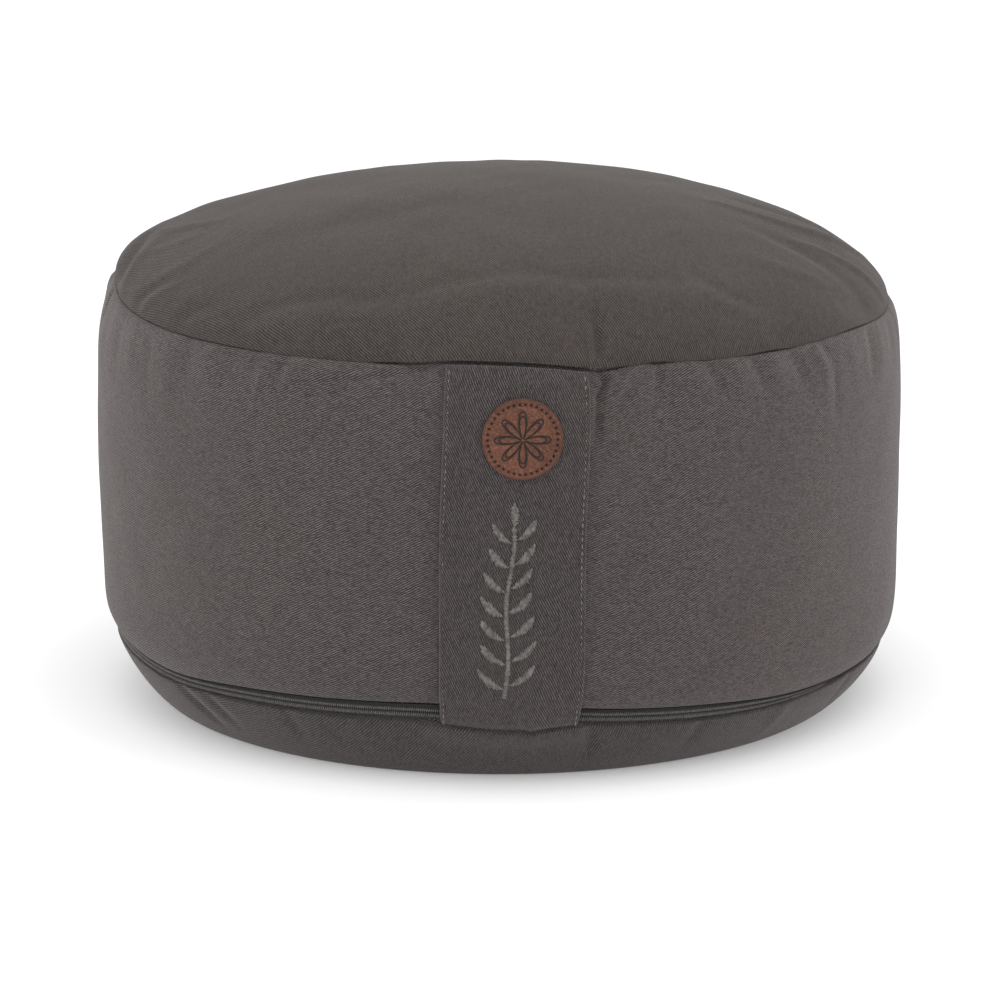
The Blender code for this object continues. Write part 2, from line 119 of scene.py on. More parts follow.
# Folds of the crown, seen from above: start x, y, middle x, y, end x, y, height, half width.
# A ridge has a height over 0 and a hollow one under 0.
CROWN_FOLDS = (
    (-100, -122, -75, -125, -45, -133, -0.7, 3.8),
    (-52, -133, -20, -130, 12, -123, -0.55, 4.2),
    (5, -122, 40, -121, 82, -107, -0.5, 4.8),
    (74, -104, 88, -112, 106, -112, -0.5, 4),
    (-103, -126, -74, -135, -45, -143, 0.8, 7),
    (-50, -143, -18, -141, 14, -134, 0.7, 8),
    (6, -133, 42, -131, 84, -118, 0.6, 8),
    (-146, -62, -128, -66, -111, -57, 0.6, 4.5),
    (-149, -68, -139, -70, -131, -73, -0.8, 3.4),
    (-147, -72, -137, -76, -127, -80, 0.6, 3),
    (-139, -83, -131, -88, -124, -91, -0.65, 2.6),
    (-138, -84, -128, -89, -118, -95, 0.6, 3),
    (-127, -99, -119, -102, -111, -106, -0.9, 3),
    (-144, -29, -133, -36, -122, -38, 0.5, 3.5),
    (-155, -34, -151, -17, -146, -2, -2.6, 5),
    (-151, -50, -147, -35, -140, -18, 1, 4),
    (-140, -5, -128, -17, -114, -25, 0.7, 4),
    (88, -18, 120, -17, 150, 6, 1.5, 4.5),
    (100, -45, 122, -50, 144, -58, -1.3, 6),
    (120, -40, 142, -34, 158, -31, 1.1, 3.6),
    (100, -78, 116, -76, 136, -70, 0.7, 5),
    (97, 4, 116, 8, 136, 10, -0.9, 5),
    (137, -75, 146, -64, 152, -52, -1.4, 5),
    (84, -118, 98, -116, 108, -111, 0.5, 4),
    (36.5, -141, 37, -150, 37.5, -159, -2.2, 1.8),
    (154, 0, 145, 28, 122, 56, -1.1, 14),
    (-147, 26, -139, 32, -129, 37, -2.6, 9),
    (-72, -73, -43, -63, -16, -54, -0.6, 9),
    (-66, 118, 0, 127, 72, 112, 1.2, 9),
    (110, 66, 130, 56, 150, 50, 1.2, 5),
    (106, 84, 121, 80, 136, 76, -0.9, 4),
    (-106, 78, -128, 66, -146, 56, 1.2, 5),
    (-40, 138, -44, 146, -47, 154, -1.2, 2.4),
)

# Folds of the side band: start azimuth, start depth under the top seam, end azimuth, end depth,
# height, half width
WALL_FOLDS = (
    (-32.6, -2, -34.8, 27, 0.55, 2.6),
    (-34.9, 22, -34.6, 44, -0.35, 2.2),
    (-34.9, 36, -30.6, 82, -0.35, 2.2),
    (-34.6, -1, -35.4, 13, -0.5, 2.6),
    (-29.6, -3, -31.2, 12, -0.9, 2.2),
    (-27.4, -3, -30, 13, 0.5, 2.4),
    (-26.4, 9, -8.5, 1.6, -0.9, 1.6),
    (-25.4, 4.6, -13, 0.5, 0.6, 2.2),
    (-10.4, 0, -9.4, 7, -0.9, 2.2),
    (-43.5, -1, -42.5, 16, 0.6, 4.5),
    (-38.8, -1, -39.5, 14, -0.6, 3.5),
    (-47.5, -1, -47, 18, -0.6, 4),
    (-52, 1, -51.5, 32, 0.3, 5),
    (-57, -1, -56.5, 26, -0.4, 4.5),
    (-63, -1, -62, 22, 0.3, 4),
    (-68, -1, -67, 26, -0.4, 4),
    (-75, -1, -74, 30, -0.3, 4),
    (-106, 10, -72, 10, -0.7, 9),
    (-106, 38, -74, 38, -0.9, 18),
    (-108, 113, -78, 113, -1.5, 19),
    (12.8, -1.5, 14.5, 4, -2.6, 1.5),
    (14.6, 3, 13.1, 10.5, -3, 1.5),
    (13.3, 8, 12.7, 27, -2.4, 1.6),
    (15.6, 7.5, 20.2, 1.5, 0.9, 1.6),
    (16.2, 3, 18.6, 0.5, -0.9, 1),
    (19, 2, 17.6, 18, 0.7, 2.2),
    (22.2, -4, 21.4, 11, -2.2, 2.2),
    (23.2, 5, 22.9, 22, -0.6, 1.6),
    (26.4, -3, 27.6, 11, 0.7, 3.6),
    (28.6, -4, 31, 12, -1.4, 2.8),
    (32.6, -3, 34.4, 12, 0.9, 3.6),
    (35.8, -4, 38.4, 12, -1.6, 3),
    (39.4, -3, 41.4, 12, 0.9, 3.4),
    (43.2, -4, 46, 14, -1.5, 3.8),
    (48, -4, 50.6, 12, 0.9, 3.4),
    (50.6, -3, 52, 8, -0.8, 2.6),
    (53, 7, 52.6, 28, -0.7, 2.6),
    (50.4, 10, 50.2, 24, 0.4, 2.8),
    (58, -1, 58.5, 18, 0.4, 4.4),
    (65.6, -2, 64, 20, -0.9, 3.2),
    (69.5, -2, 68, 18, 0.5, 3.8),
    (75.5, -2, 74.5, 16, -0.4, 4),
)

# Folds of the base just under the zip, in the same columns, with the depth under the zip
FOOT_FOLDS = (
    (12.2, -3, 13, 12, -1.4, 2.6),
    (-53, -1, -47, 14, -1.2, 2.8),
    (-47, -1, -42.5, 12, -0.9, 2.6),
    (-8.5, -2, -9.5, 8, -0.9, 3),
    (30, -1, 28.5, 11, -0.7, 3.4),
    (62, -1, 60, 12, -0.8, 3.4),
    (-20, -1, -19, 10, 0.5, 4),
    (-31, -1, -30, 12, -0.6, 3.2),
    (45, -1, 43.5, 12, 0.6, 4),
)

# How far the top seam gapes: azimuth, millimetres
SEAM_GAPES = (
    (-180, 0.12), (-120, 0.10), (-80, 0.12), (-62, 0.14), (-38, 0.20), (-34, 0.03),
    (-18, 0.03), (-13.5, 0.70), (-8, 1.10), (0, 1.10), (10, 1.20), (13, 1.30), (15.5, 0.80),
    (17, 0.20), (18, 0.03), (20.2, 0.03), (21.2, 0.50), (23, 0.40), (24.5, 0.03), (36, 0.05),
    (38.5, 0.50), (42, 0.40), (44.5, 0.04), (56, 0.04), (59, 0.35), (63, 0.25), (67, 0.06),
    (120, 0.10),
)

# How far the base's edge droops under the handle: azimuth, millimetres
EDGE_DROOP = ((-11.5, 0), (-7.2, 0.7), (-2, 2.1), (1.8, 2.4),
              (2.9, 1.9), (4.4, 3), (6.9, 1.4), (10.5, 0))


def closed_curve(column):
    """A column of the seam table as a smooth closed curve, for any azimuths."""
    count = len(SEAMS)
    ring = np.array(SEAMS)[:, [0, column]]
    ring = np.concatenate([ring[-1:] - (360.0, 0.0), ring, ring[:2] + (360.0, 0.0)])[:, :, None]
    before, first, second, after = (ring[start:start + count] for start in range(4))
    span = second[:, 0] - first[:, 0]
    slope_a = (second[:, 1] - before[:, 1]) / (second[:, 0] - before[:, 0]) * span
    slope_b = (after[:, 1] - first[:, 1]) / (after[:, 0] - first[:, 0]) * span
    part = np.linspace(0.0, 1.0, 24, endpoint=False)
    square = part * part
    cube = square * part
    values = first[:, 1] * (2 * cube - 3 * square + 1) + slope_a * (cube - 2 * square + part)
    values = values + second[:, 1] * (3 * square - 2 * cube) + slope_b * (cube - square)
    spots = first[:, 0] + part * span
    return lambda azimuth: np.interp(azimuth, spots.ravel(), values.ravel(), period=360.0)


top_seam = closed_curve(1)
zip_edge = closed_curve(2)
slot_curve = closed_curve(3)
seam_draw = closed_curve(4)


def seam_gape(azimuth):
    spots, values = zip(*SEAM_GAPES)
    return np.interp(azimuth, spots, values, period=360.0)


def seam_roll(azimuth):
    """How round the two edges at the top seam are: flat where it is shut, full where it gapes."""
    return np.clip(0.05 + seam_gape(azimuth) / 0.6, 0.05, 1.15)


def near_handle(azimuth, reach, ease):
    """1 where the handle is sewn in, fading to 0 on both sides."""
    return np.clip((reach - np.abs(azimuth - 1.0)) / ease, 0.0, 1.0)


def slot_height(azimuth):
    """Height of the zip's slot; the base's edge droops where the handle is sewn in."""
    droop = np.interp(azimuth, *zip(*EDGE_DROOP))
    return np.maximum(PLAIN_SLOT, slot_curve(azimuth)) + droop


def slot_floor(azimuth):
    return 1.0 - slot_height(azimuth) / zip_edge(azimuth)


def foot_profile(azimuth, level):
    high = zip_edge(azimuth)
    height = level * high
    swell = np.maximum(1.0 - np.maximum(1.0 - level, 0.0) ** FOOT_POWER, 0.0) ** (1.0 / FOOT_POWER)
    radius = FOOT_RADIUS + (LOW_SEAM_RADIUS - FOOT_RADIUS) * swell
    return radius - LOW_SEAM_DRAW * level * np.exp(-(high - height) / LOW_SEAM_REACH), height


def wall_profile(azimuth, level):
    low = zip_edge(azimuth)
    high = top_seam(azimuth)
    height = low + level * (high - low)
    upper = level > WIDEST_AT
    end = np.where(upper, TOP_SEAM_RADIUS, LOW_SEAM_RADIUS)
    part = np.where(upper, (level - WIDEST_AT) / (1.0 - WIDEST_AT), (WIDEST_AT - level) / WIDEST_AT)
    power = np.where(upper, HIGH_WALL_POWER, LOW_WALL_POWER)
    radius = end + (WIDEST_RADIUS - end) * (1.0 - part ** power)
    draw = seam_draw(azimuth)
    radius = radius - draw * np.exp(-(high - height) / (1.5 + 1.3 * draw))
    return radius - LOW_SEAM_DRAW * np.exp(-(height - low) / LOW_SEAM_REACH), height


def crown_profile(azimuth, level):
    angle = level * math.pi / 2
    share = np.maximum(np.cos(angle), 0.0) ** (2.0 / CROWN_PLAN_POWER)
    rise = CROWN_RISE * np.sin(angle) ** (2.0 / CROWN_RISE_POWER)
    radius = TOP_SEAM_RADIUS * share - seam_draw(azimuth) * np.exp(-rise / CROWN_SEAM_REACH) * share
    return radius, MEAN_TOP_SEAM + (top_seam(azimuth) - MEAN_TOP_SEAM) * share ** SEAM_LIFT_POWER + rise


PROFILES = {"foot": foot_profile, "wall": wall_profile, "crown": crown_profile}


def place(azimuth, radius, height):
    turn = np.radians(azimuth)
    return np.stack([radius * np.sin(turn), -radius * np.cos(turn), height + 0.0 * turn], axis=-1)


def surface(zone, azimuth, level, out=0.0):
    """Points of the outer face, and the way out from it, moved out along that way."""
    azimuth, level = np.broadcast_arrays(np.asarray(azimuth, float), np.asarray(level, float))
    step = 0.003
    low = PROFILES[zone](azimuth, np.maximum(level - step, 0.0))
    high = PROFILES[zone](azimuth, np.minimum(level + step, 1.0))
    rise = unit(np.stack([high[0] - low[0], high[1] - low[1]], axis=-1))
    radius, height = PROFILES[zone](azimuth, level)
    turn = np.radians(azimuth)
    facing = np.stack([rise[..., 1] * np.sin(turn), -rise[..., 1] * np.cos(turn), -rise[..., 0]], axis=-1)
    points = place(azimuth, radius, height)
    return points + facing * np.asarray(out)[..., None], facing


def curve_through(start, middle, end, count=13):
    part = np.linspace(0.0, 1.0, count)[:, None]
    start, middle, end = (np.array(corner, float) for corner in (start, middle, end))
    weighted = (1 - part) * (1 - 2 * part) * start + 4 * part * (1 - part) * middle
    return weighted + part * (2 * part - 1) * end


def unit(ways):
    return ways / np.linalg.norm(ways, axis=-1, keepdims=True)


def bell(distance, half_width):
    """1 in the middle, fading smoothly to 0 on both sides."""
    return np.exp(-((distance / half_width) ** 2))


def near_path(spots, path):
    """For each spot, its distance from the path and how far along it the nearest point is."""
    least = np.full(spots.shape[:-1], 1e9)
    along = np.zeros(spots.shape[:-1])
    for index in range(len(path) - 1):
        start = path[index]
        way = path[index + 1] - start
        part = np.clip(((spots - start) @ way) / (way @ way), 0.0, 1.0)
        away = np.linalg.norm(spots - start - part[..., None] * way, axis=-1)
        closer = away < least
        least = np.where(closer, away, least)
        along = np.where(closer, (index + part) / (len(path) - 1), along)
    return least, along


def soft_fold(spots, path, height, half_width):
    distance, along = near_path(spots, path)
    fade = np.sin(math.pi * (0.10 + 0.80 * along)) ** 0.7
    return height * fade * bell(distance, half_width)


def soft_lumps(points, size, height, seed, count=28):
    """Gentle unevenness of the filling: a sum of waves that cross in all directions."""
    chance = np.random.default_rng(seed)
    total = np.zeros(points.shape[:-1])
    for _ in range(count):
        way = chance.normal(size=3)
        way *= 2 * math.pi / (size * chance.uniform(0.7, 1.5)) / np.linalg.norm(way)
        total += np.sin(points @ way + chance.uniform(0, 2 * math.pi))
    return total * height / math.sqrt(count)


def under_strap(azimuth, height):
    """1 under the handle, fading to 0 just outside it."""
    share = np.clip((STRAP_HIGH - height) / STRAP_DROP, 0.0, 1.0)
    middle = STRAP_TOP_AZIMUTH + (STRAP_LOW_AZIMUTH - STRAP_TOP_AZIMUTH) * share
    inside = 0.5 * STRAP_WIDTH - np.abs((azimuth - middle) * GIRTH)
    return np.clip((inside + 3.0) / 2.0, 0.0, 1.0)


def hidden_puckers(seed, count, length, height):
    """Puckers of the same kind for the side of the cushion that the photograph doesn't show."""
    chance = np.random.default_rng(seed)
    rows = []
    for index in range(count):
        azimuth = 80.0 + 200.0 * (index + chance.uniform(0.2, 0.8)) / count
        sign = -1.0 if index % 2 else 0.7
        rows.append((azimuth, -3.0, azimuth + chance.uniform(-1.5, 1.5), length * chance.uniform(0.5, 1.5),
                     sign * height * chance.uniform(0.6, 1.2), chance.uniform(2.2, 4.0)))
    return tuple(rows)


def band_folds(azimuth, depth, rows):
    """Folds on a band round the cushion; depth is the distance from its seam."""
    total = np.zeros(azimuth.shape)
    for start, start_depth, end, end_depth, height, half_width in rows:
        middle = 0.5 * (start + end)
        around = ((azimuth - middle + 180.0) % 360.0 - 180.0) * GIRTH
        spots = np.stack([around, depth], axis=-1)
        path = np.array([((start - middle) * GIRTH, start_depth), ((end - middle) * GIRTH, end_depth)])
        total += soft_fold(spots, path, height, half_width)
    return total


def crown_shape(azimuth, level):
    """How far the crown stands proud of its plain profile."""
    points, _ = surface("crown", azimuth, level)
    total = np.zeros(points.shape[:-1])
    for row in CROWN_FOLDS:
        path = curve_through(row[0:2], row[2:4], row[4:6])
        total += soft_fold(points[..., :2], path, row[6], row[7])
    rise = points[..., 2] - top_seam(azimuth)
    total += soft_lumps(points, 75.0, 0.45, 3) + soft_lumps(points, 26.0, 0.15, 4)
    total = total * (0.15 + 0.85 * np.clip(rise / 7.0, 0.0, 1.0))
    return total + CROWN_LIP * near_handle(azimuth, 15.5, 3.0) * bell(rise, 4.5)


def wall_shape(azimuth, level):
    azimuth, level = np.broadcast_arrays(np.asarray(azimuth, float), np.asarray(level, float))
    points, _ = surface("wall", azimuth, level)
    height = points[..., 2]
    below = top_seam(azimuth) - height
    above = height - zip_edge(azimuth)
    total = band_folds(azimuth, below, WALL_FOLDS + hidden_puckers(11, 30, 16.0, 1.4))
    total += band_folds(azimuth, above, hidden_puckers(12, 20, 12.0, 0.7))
    total += soft_lumps(points, 80.0, 0.25, 5) + soft_lumps(points, 28.0, 0.12, 6)
    total *= (0.3 + 0.7 * np.clip(below / 3.0, 0.0, 1.0)) * (0.2 + 0.8 * np.clip(above / 8.0, 0.0, 1.0))
    covered = under_strap(azimuth, height)
    return total * (1.0 - covered) + np.minimum(total, 0.0) * covered * 0.5


def foot_shape(azimuth, level):
    azimuth, level = np.broadcast_arrays(np.asarray(azimuth, float), np.asarray(level, float))
    points, _ = surface("foot", azimuth, level)
    below = zip_edge(azimuth) - slot_height(azimuth) - points[..., 2]
    rows = FOOT_FOLDS + hidden_puckers(13, 20, 9.0, 0.8)
    lift = np.clip(points[..., 2] / 6.0, 0.0, 1.0)
    total = band_folds(azimuth, np.maximum(below, 0.0), rows) * lift
    wave = 1.0 + 0.15 * np.sin(np.radians(azimuth) * 26.0 + 0.6)
    return total + BASE_LIP * wave * near_handle(azimuth, 13.0, 3.0) * bell(below, 7.0)


SHAPES = {"foot": foot_shape, "wall": wall_shape, "crown": crown_shape}
CROWN_TOP = MEAN_TOP_SEAM + CROWN_RISE + float(crown_shape(0.0, 1.0))


def ring_rows(zone, levels, inset=0.0):
    """Rings of points; a level may be a function of the azimuth, and each ring may have its own inset."""
    rows = []
    insets = np.broadcast_to(np.asarray(inset, float).T, (len(AZIMUTHS), len(levels))).T
    for level, depth in zip(levels, insets):
        here = level(AZIMUTHS) if callable(level) else np.full(len(AZIMUTHS), float(level))
        rows.append(surface(zone, AZIMUTHS, here, SHAPES[zone](AZIMUTHS, here) - depth)[0])
    return rows


def floor_rows(shares, height):
    return [place(AZIMUTHS, FOOT_RADIUS * share, height) for share in shares]


def add_object(name, data):
    piece = bpy.data.objects.new(name, data)
    bpy.context.scene.collection.objects.link(piece)
    return piece


def make_mesh(name, points, faces, uvs=None, material=None, start=(0.0, AXIS_BACK, 0.0)):
    """A smooth mesh object from millimetres, counted from start; uvs has one pair for each face corner."""
    mesh = bpy.data.meshes.new(name)
    mesh.from_pydata(((np.asarray(points, float) + start) * MM).tolist(), [], faces)
    if uvs is not None:
        layer = mesh.uv_layers.new(name="cloth")
        layer.data.foreach_set("uv", np.asarray(uvs, np.float32).ravel())
    mesh.polygons.foreach_set("use_smooth", [True] * len(mesh.polygons))
    mesh.update()
    if material:
        mesh.materials.append(material)
    return add_object(name, mesh)


def ring_piece(name, first, rings, last, grid_uv, material):
    """A closed piece from a pole through rings to a pole. grid_uv has a row of pairs for each ring,
    with one pair more than the ring has points; both poles have the pair (0, 0)."""
    count = len(rings[0])
    step = np.arange(count)
    after = (step + 1) % count
    low = 1 + count * np.arange(len(rings) - 1)[:, None]
    high = low + count
    quads = np.stack([low + step, low + after, high + after, high + step], axis=-1).reshape(-1, 4)
    top = 1 + count * (len(rings) - 1)
    pole = np.zeros(count, int)
    first_cap = np.stack([pole, 1 + after, 1 + step], axis=1)
    last_cap = np.stack([top + step, top + after, pole + top + count], axis=1)
    uv = np.stack(grid_uv)
    here, there = uv[:, :-1], uv[:, 1:]
    corners = (
        np.stack([here[:-1], there[:-1], there[1:], here[1:]], axis=2),
        np.stack([0.0 * here[0], there[0], here[0]], axis=1),
        np.stack([here[-1], there[-1], 0.0 * here[-1]], axis=1),
    )
    points = np.concatenate([[first], *rings, [last]])
    faces = quads.tolist() + first_cap.tolist() + last_cap.tolist()
    uvs = np.concatenate([corner.reshape(-1, 2) for corner in corners])
    return make_mesh(name, points, faces, uvs, material)


def slab_piece(name, outer, inner, material, uv):
    """A closed strip between two grids of points; uv is a grid of pairs."""
    index = np.arange(outer[..., 0].size).reshape(outer.shape[:2])
    a, b, c, d = index[:-1, :-1], index[:-1, 1:], index[1:, 1:], index[1:, :-1]
    face = np.stack([a, b, c, d], axis=-1).reshape(-1, 4)
    back = np.stack([a, d, c, b], axis=-1).reshape(-1, 4) + index.size
    rim = np.concatenate([index[0], index[1:, -1], index[-1, -2::-1], index[-2:0:-1, 0]])
    after = np.roll(rim, -1)
    side = np.stack([rim, rim + index.size, after + index.size, after], axis=1)
    faces = np.concatenate([face, back, side])
    points = np.concatenate([outer.reshape(-1, 3), inner.reshape(-1, 3)])
    return make_mesh(name, points, faces.tolist(), uv.reshape(-1, 2)[faces.ravel() % index.size], material)


# finishes


class Wire:
    """A node's socket that takes part in sums: each operator adds a Math node."""

    def __init__(self, nodes, socket):
        self.nodes = nodes
        self.socket = socket

    def __add__(self, other):
        return self.nodes.math("ADD", self, other)

    def __sub__(self, other):
        return self.nodes.math("SUBTRACT", self, other)

    def __rsub__(self, other):
        return self.nodes.math("SUBTRACT", other, self)

    def __mul__(self, other):
        return self.nodes.math("MULTIPLY", self, other)

    def __truediv__(self, other):
        return self.nodes.math("DIVIDE", self, other)

    __radd__ = __add__
    __rmul__ = __mul__

    def floor(self):
        return self.nodes.math("FLOOR", self)

    def part(self):
        return self.nodes.math("FRACT", self)

    def root(self):
        return self.nodes.math("SQRT", self)

    def at_least(self, other):
        return self.nodes.math("MAXIMUM", self, other)

    def at_most(self, other):
        return self.nodes.math("MINIMUM", self, other)

    def between(self, low, high):
        """0 at low, 1 at high, eased."""
        return self.nodes.node("ShaderNodeMapRange", {"interpolation_type": "SMOOTHSTEP"}, Value=self,
                               From_Min=low, From_Max=high)


class Nodes:
    """A node tree whose nodes are made, set and fed in one call each."""

    def __init__(self, tree):
        self.tree = tree

    def node(self, kind, settings=None, output=0, **sockets):
        """The settings come first, because they open and close sockets. A socket's name has _ for a space."""
        made = self.tree.nodes.new(kind)
        for name, value in (settings or {}).items():
            setattr(made, name, value)
        for name, value in sockets.items():
            label = name.replace("_", " ")
            self.feed(next(socket for socket in made.inputs if socket.enabled and socket.name == label), value)
        return Wire(self, made.outputs[output])

    def feed(self, socket, value):
        if isinstance(value, Wire):
            self.tree.links.new(value.socket, socket)
        else:
            socket.default_value = value

    def math(self, operation, *values):
        made = self.tree.nodes.new("ShaderNodeMath")
        made.operation = operation
        for socket, value in zip(made.inputs, values):
            self.feed(socket, value)
        return Wire(self, made.outputs[0])

    def scale(self, vector, share):
        """A vector or a colour times a number."""
        return self.node("ShaderNodeVectorMath", {"operation": "SCALE"}, Vector=vector, Scale=share)


class Finish(Nodes):
    """A material with its nodes."""

    def __init__(self, name):
        self.material = bpy.data.materials.new(name)
        self.material.use_nodes = True
        super().__init__(self.material.node_tree)
        self.spot = self.node("ShaderNodeTexCoord", output="Object")

    def mix(self, share, first, second):
        """A colour between two colours."""
        first, second = (colour if isinstance(colour, Wire) else (*colour, 1.0) for colour in (first, second))
        return self.node("ShaderNodeMix", {"data_type": "RGBA"}, 2, Factor=share, A=first, B=second)

    def cloth_place(self):
        """Across and along the cloth, in millimetres."""
        across = self.node("ShaderNodeSeparateXYZ", Vector=self.node("ShaderNodeUVMap", {"uv_map": "cloth"}))
        return across, Wire(self, across.socket.node.outputs["Y"])

    def clouds(self, scale, detail=2.0, roughness=0.5, spot=None):
        return self.node("ShaderNodeTexNoise", {"noise_dimensions": "3D"}, Vector=spot or self.spot,
                         Scale=scale, Detail=detail, Roughness=roughness)

    def done(self, relief=None, millimetres=0.0, **sockets):
        """Feeds the shader, and its normal with a relief of so many millimetres."""
        if relief:
            sockets["Normal"] = self.node("ShaderNodeBump", Height=relief, Distance=millimetres * MM,
                                          Strength=1.0)
        shader = self.tree.nodes["Principled BSDF"]
        for name, value in sockets.items():
            self.feed(shader.inputs[name.replace("_", " ")], value)
        return self.material


def twill(finish, across, along, warp=0.235, pick=0.475, shafts=4.0):
    """The woven face, 0 in the gaps to 1 on the yarns: each warp yarn floats over all picks but one,
    and each next yarn dips one pick further on, so the floats line up as slanting ribs. The second
    result is a chance value for each float."""
    yarn = across / warp
    number = yarn.floor()
    side = yarn.part() * 2.0 - 1.0
    round_yarn = (1.0 - side * side).at_least(0.0).root()
    turns = number / shafts + along / (pick * shafts)
    stage = turns.part()
    floating = stage.between(0.02, 0.20) * (1.0 - stage.between(0.66, 0.90))
    pair = finish.node("ShaderNodeCombineXYZ", None, X=number, Y=turns.floor(), Z=0.5)
    chance = finish.node("ShaderNodeTexWhiteNoise", {"noise_dimensions": "3D"}, Vector=pair)
    return floating * (0.70 + 0.30 * round_yarn), chance


def twill_cloth(name, colour, turned=0.0, contrast=1.0, sheen=0.22, coarse=1.0):
    """Charcoal cotton twill, its warp turned by some degrees: 90 runs round the cushion."""
    finish = Finish(name)
    across, along = finish.cloth_place()
    way = math.cos(math.radians(turned)) / coarse, math.sin(math.radians(turned)) / coarse
    across, along = across * way[0] + along * way[1], along * way[0] - across * way[1]
    across = across + (finish.clouds(90.0) - 0.5) * 1.3
    rib, chance = twill(finish, across, along)
    # Thick and thin places run along single yarns, both ways
    warp_spot = finish.node("ShaderNodeCombineXYZ", X=across * 3.6, Y=along * 0.25)
    warp_streaks = finish.clouds(1.0, 1.0, spot=warp_spot) - 0.5
    weft_spot = finish.node("ShaderNodeCombineXYZ", X=across * 0.2, Y=along * 1.7, Z=7.0)
    weft_streaks = finish.clouds(1.0, 1.0, spot=weft_spot) - 0.5
    fuzz = finish.clouds(1500.0) - 0.5
    mottle = finish.clouds(24.0, 3.0) - 0.5
    slubs = finish.clouds(420.0, 1.0) - 0.5
    uneven = (chance - 0.5) * 0.9 + warp_streaks * 0.6 + weft_streaks * 0.5 + fuzz
    # The colour is darker in the gaps between yarns and at their rounded sides: painted shade of the weave's
    # grooves, mixed with the yarns' own uneven tone
    weave = (rib - 0.55) * 1.8 + uneven * (0.3 + 0.7 * rib)
    tone = (1.0 + weave * contrast + slubs * 0.5 + mottle * 0.22).at_least(0.10)
    cool, warm = ([c * f for c, f in zip(colour, tint)] for tint in ((0.97, 0.98, 1.02), (1.04, 1.01, 0.97)))
    shade = finish.scale(finish.mix(finish.clouds(11.0), cool, warm), tone)
    relief = rib * 0.8 + (chance - 0.5) * 0.12 + warp_streaks * 0.15 + fuzz * 0.15
    return finish.done(relief, 0.20, Base_Color=shade, Roughness=0.97 - 0.10 * rib, Sheen_Weight=sheen,
                       Sheen_Roughness=0.42, Sheen_Tint=(1.0, 0.93, 0.90, 1.0), Specular_IOR_Level=0.2)


def zip_tape_cloth():
    finish = Finish("zip_tape_weave")
    across, along = finish.cloth_place()
    wale = along / 0.45
    wales = wale.part() * 2.0 - 1.0
    courses = (across / 0.6 + wale.floor() * 0.5).part() * 2.0 - 1.0
    relief = (1.0 - wales * wales) * 0.6 + (1.0 - courses * courses) * 0.4
    # The tape is darker in the grooves between its wales and courses: painted shade, on the same map that makes
    # its bump
    colour = finish.mix(relief, (0.010, 0.009, 0.009), (0.040, 0.037, 0.036))
    return finish.done(relief, 0.15, Base_Color=colour, Roughness=0.9, Sheen_Weight=0.1)


def coil_plastic():
    finish = Finish("zip_coil_nylon")
    rub = finish.clouds(700.0)
    colour = finish.mix(rub, (0.030, 0.028, 0.027), (0.170, 0.160, 0.153))
    return finish.done(rub, 0.03, Base_Color=colour, Roughness=0.32 + 0.25 * rub)


def thread(name, dark, light, roughness=0.6, sheen=0.25):
    """Thread with fine fibres, its tone uneven from place to place."""
    finish = Finish(name)
    fibres = finish.clouds(1500.0)
    patches = finish.clouds(700.0, 1.0)
    colour = finish.mix(fibres * 0.4 + patches.between(0.35, 0.65) * 0.6, dark, light)
    return finish.done(fibres, 0.05, Base_Color=colour, Roughness=roughness, Sheen_Weight=sheen)


def brown_leather():
    """Leather, with the patch's own maps of its rosette's pressed lines, its edge and its stitch holes. The
    pressed lines are darker partly as pressed leather darkens and partly with painted shade of their grooves;
    the stitch holes get painted shade.
    """
    finish = Finish("brown_leather_face")
    pressed_line_and_shade, rim, hole_and_shade = (finish.node("ShaderNodeAttribute", {"attribute_name": name}, "Fac")
                          for name in ("pressed_line_and_shade", "rim", "hole_and_shade"))
    cells = finish.node("ShaderNodeTexVoronoi", {"feature": "DISTANCE_TO_EDGE"}, Vector=finish.spot,
                        Scale=2400.0)
    specks = finish.clouds(1300.0, 2.0, 0.6)
    light_specks = specks.between(0.50, 0.72) * 0.6
    dark_specks = (1.0 - specks).between(0.52, 0.72) * 0.55
    scuffs = finish.clouds(420.0, 3.0, 0.7).between(0.5, 0.8) * 0.5
    colour = finish.mix(finish.clouds(140.0, 4.0, 0.6).between(0.3, 0.7), (0.082, 0.0275, 0.0140),
                        (0.140, 0.0500, 0.0270))
    for share, over in (
        (scuffs, (0.190, 0.085, 0.052)),
        (light_specks, (0.230, 0.115, 0.078)),
        (dark_specks, (0.040, 0.014, 0.008)),
        (rim * 0.45, (0.040, 0.016, 0.012)),
        # Pressed lines: partly the leather's own darkening, partly painted shade in the grooves
        ((pressed_line_and_shade * 1.1).at_most(1.0), (0.013, 0.010, 0.009)),
        # Stitch holes: painted shade inside the holes, nearly black
        (hole_and_shade * 0.9, (0.010, 0.004, 0.004)),
    ):
        colour = finish.mix(share, colour, over)
    grain = cells.between(0.0, 0.09) * 0.6 + finish.clouds(3200.0, 3.0) * 0.4
    rough = 0.56 + 0.18 * (1.0 - grain) + 0.1 * pressed_line_and_shade
    return finish.done(grain, 0.07, Base_Color=colour, Roughness=rough, Specular_IOR_Level=0.3)


def dark_metal():
    finish = Finish("zip_slider_metal")
    wear = finish.clouds(420.0, 4.0)
    colour = finish.mix(wear.between(0.45, 0.75), (0.10, 0.09, 0.085), (0.22, 0.20, 0.18))
    return finish.done(wear, 0.03, Base_Color=colour, Metallic=1.0, Roughness=0.28 + 0.2 * wear)


def pale_floor():
    """A white floor that shines a little by itself, as the photograph's even ground does."""
    finish = Finish("pale_floor")
    grain = finish.clouds(30.0)
    colour = finish.mix(grain, (0.79, 0.79, 0.80), (0.81, 0.81, 0.82))
    return finish.done(Base_Color=colour, Roughness=0.75, Emission_Color=(1.0, 1.0, 1.0, 1.0),
                       Emission_Strength=0.21)
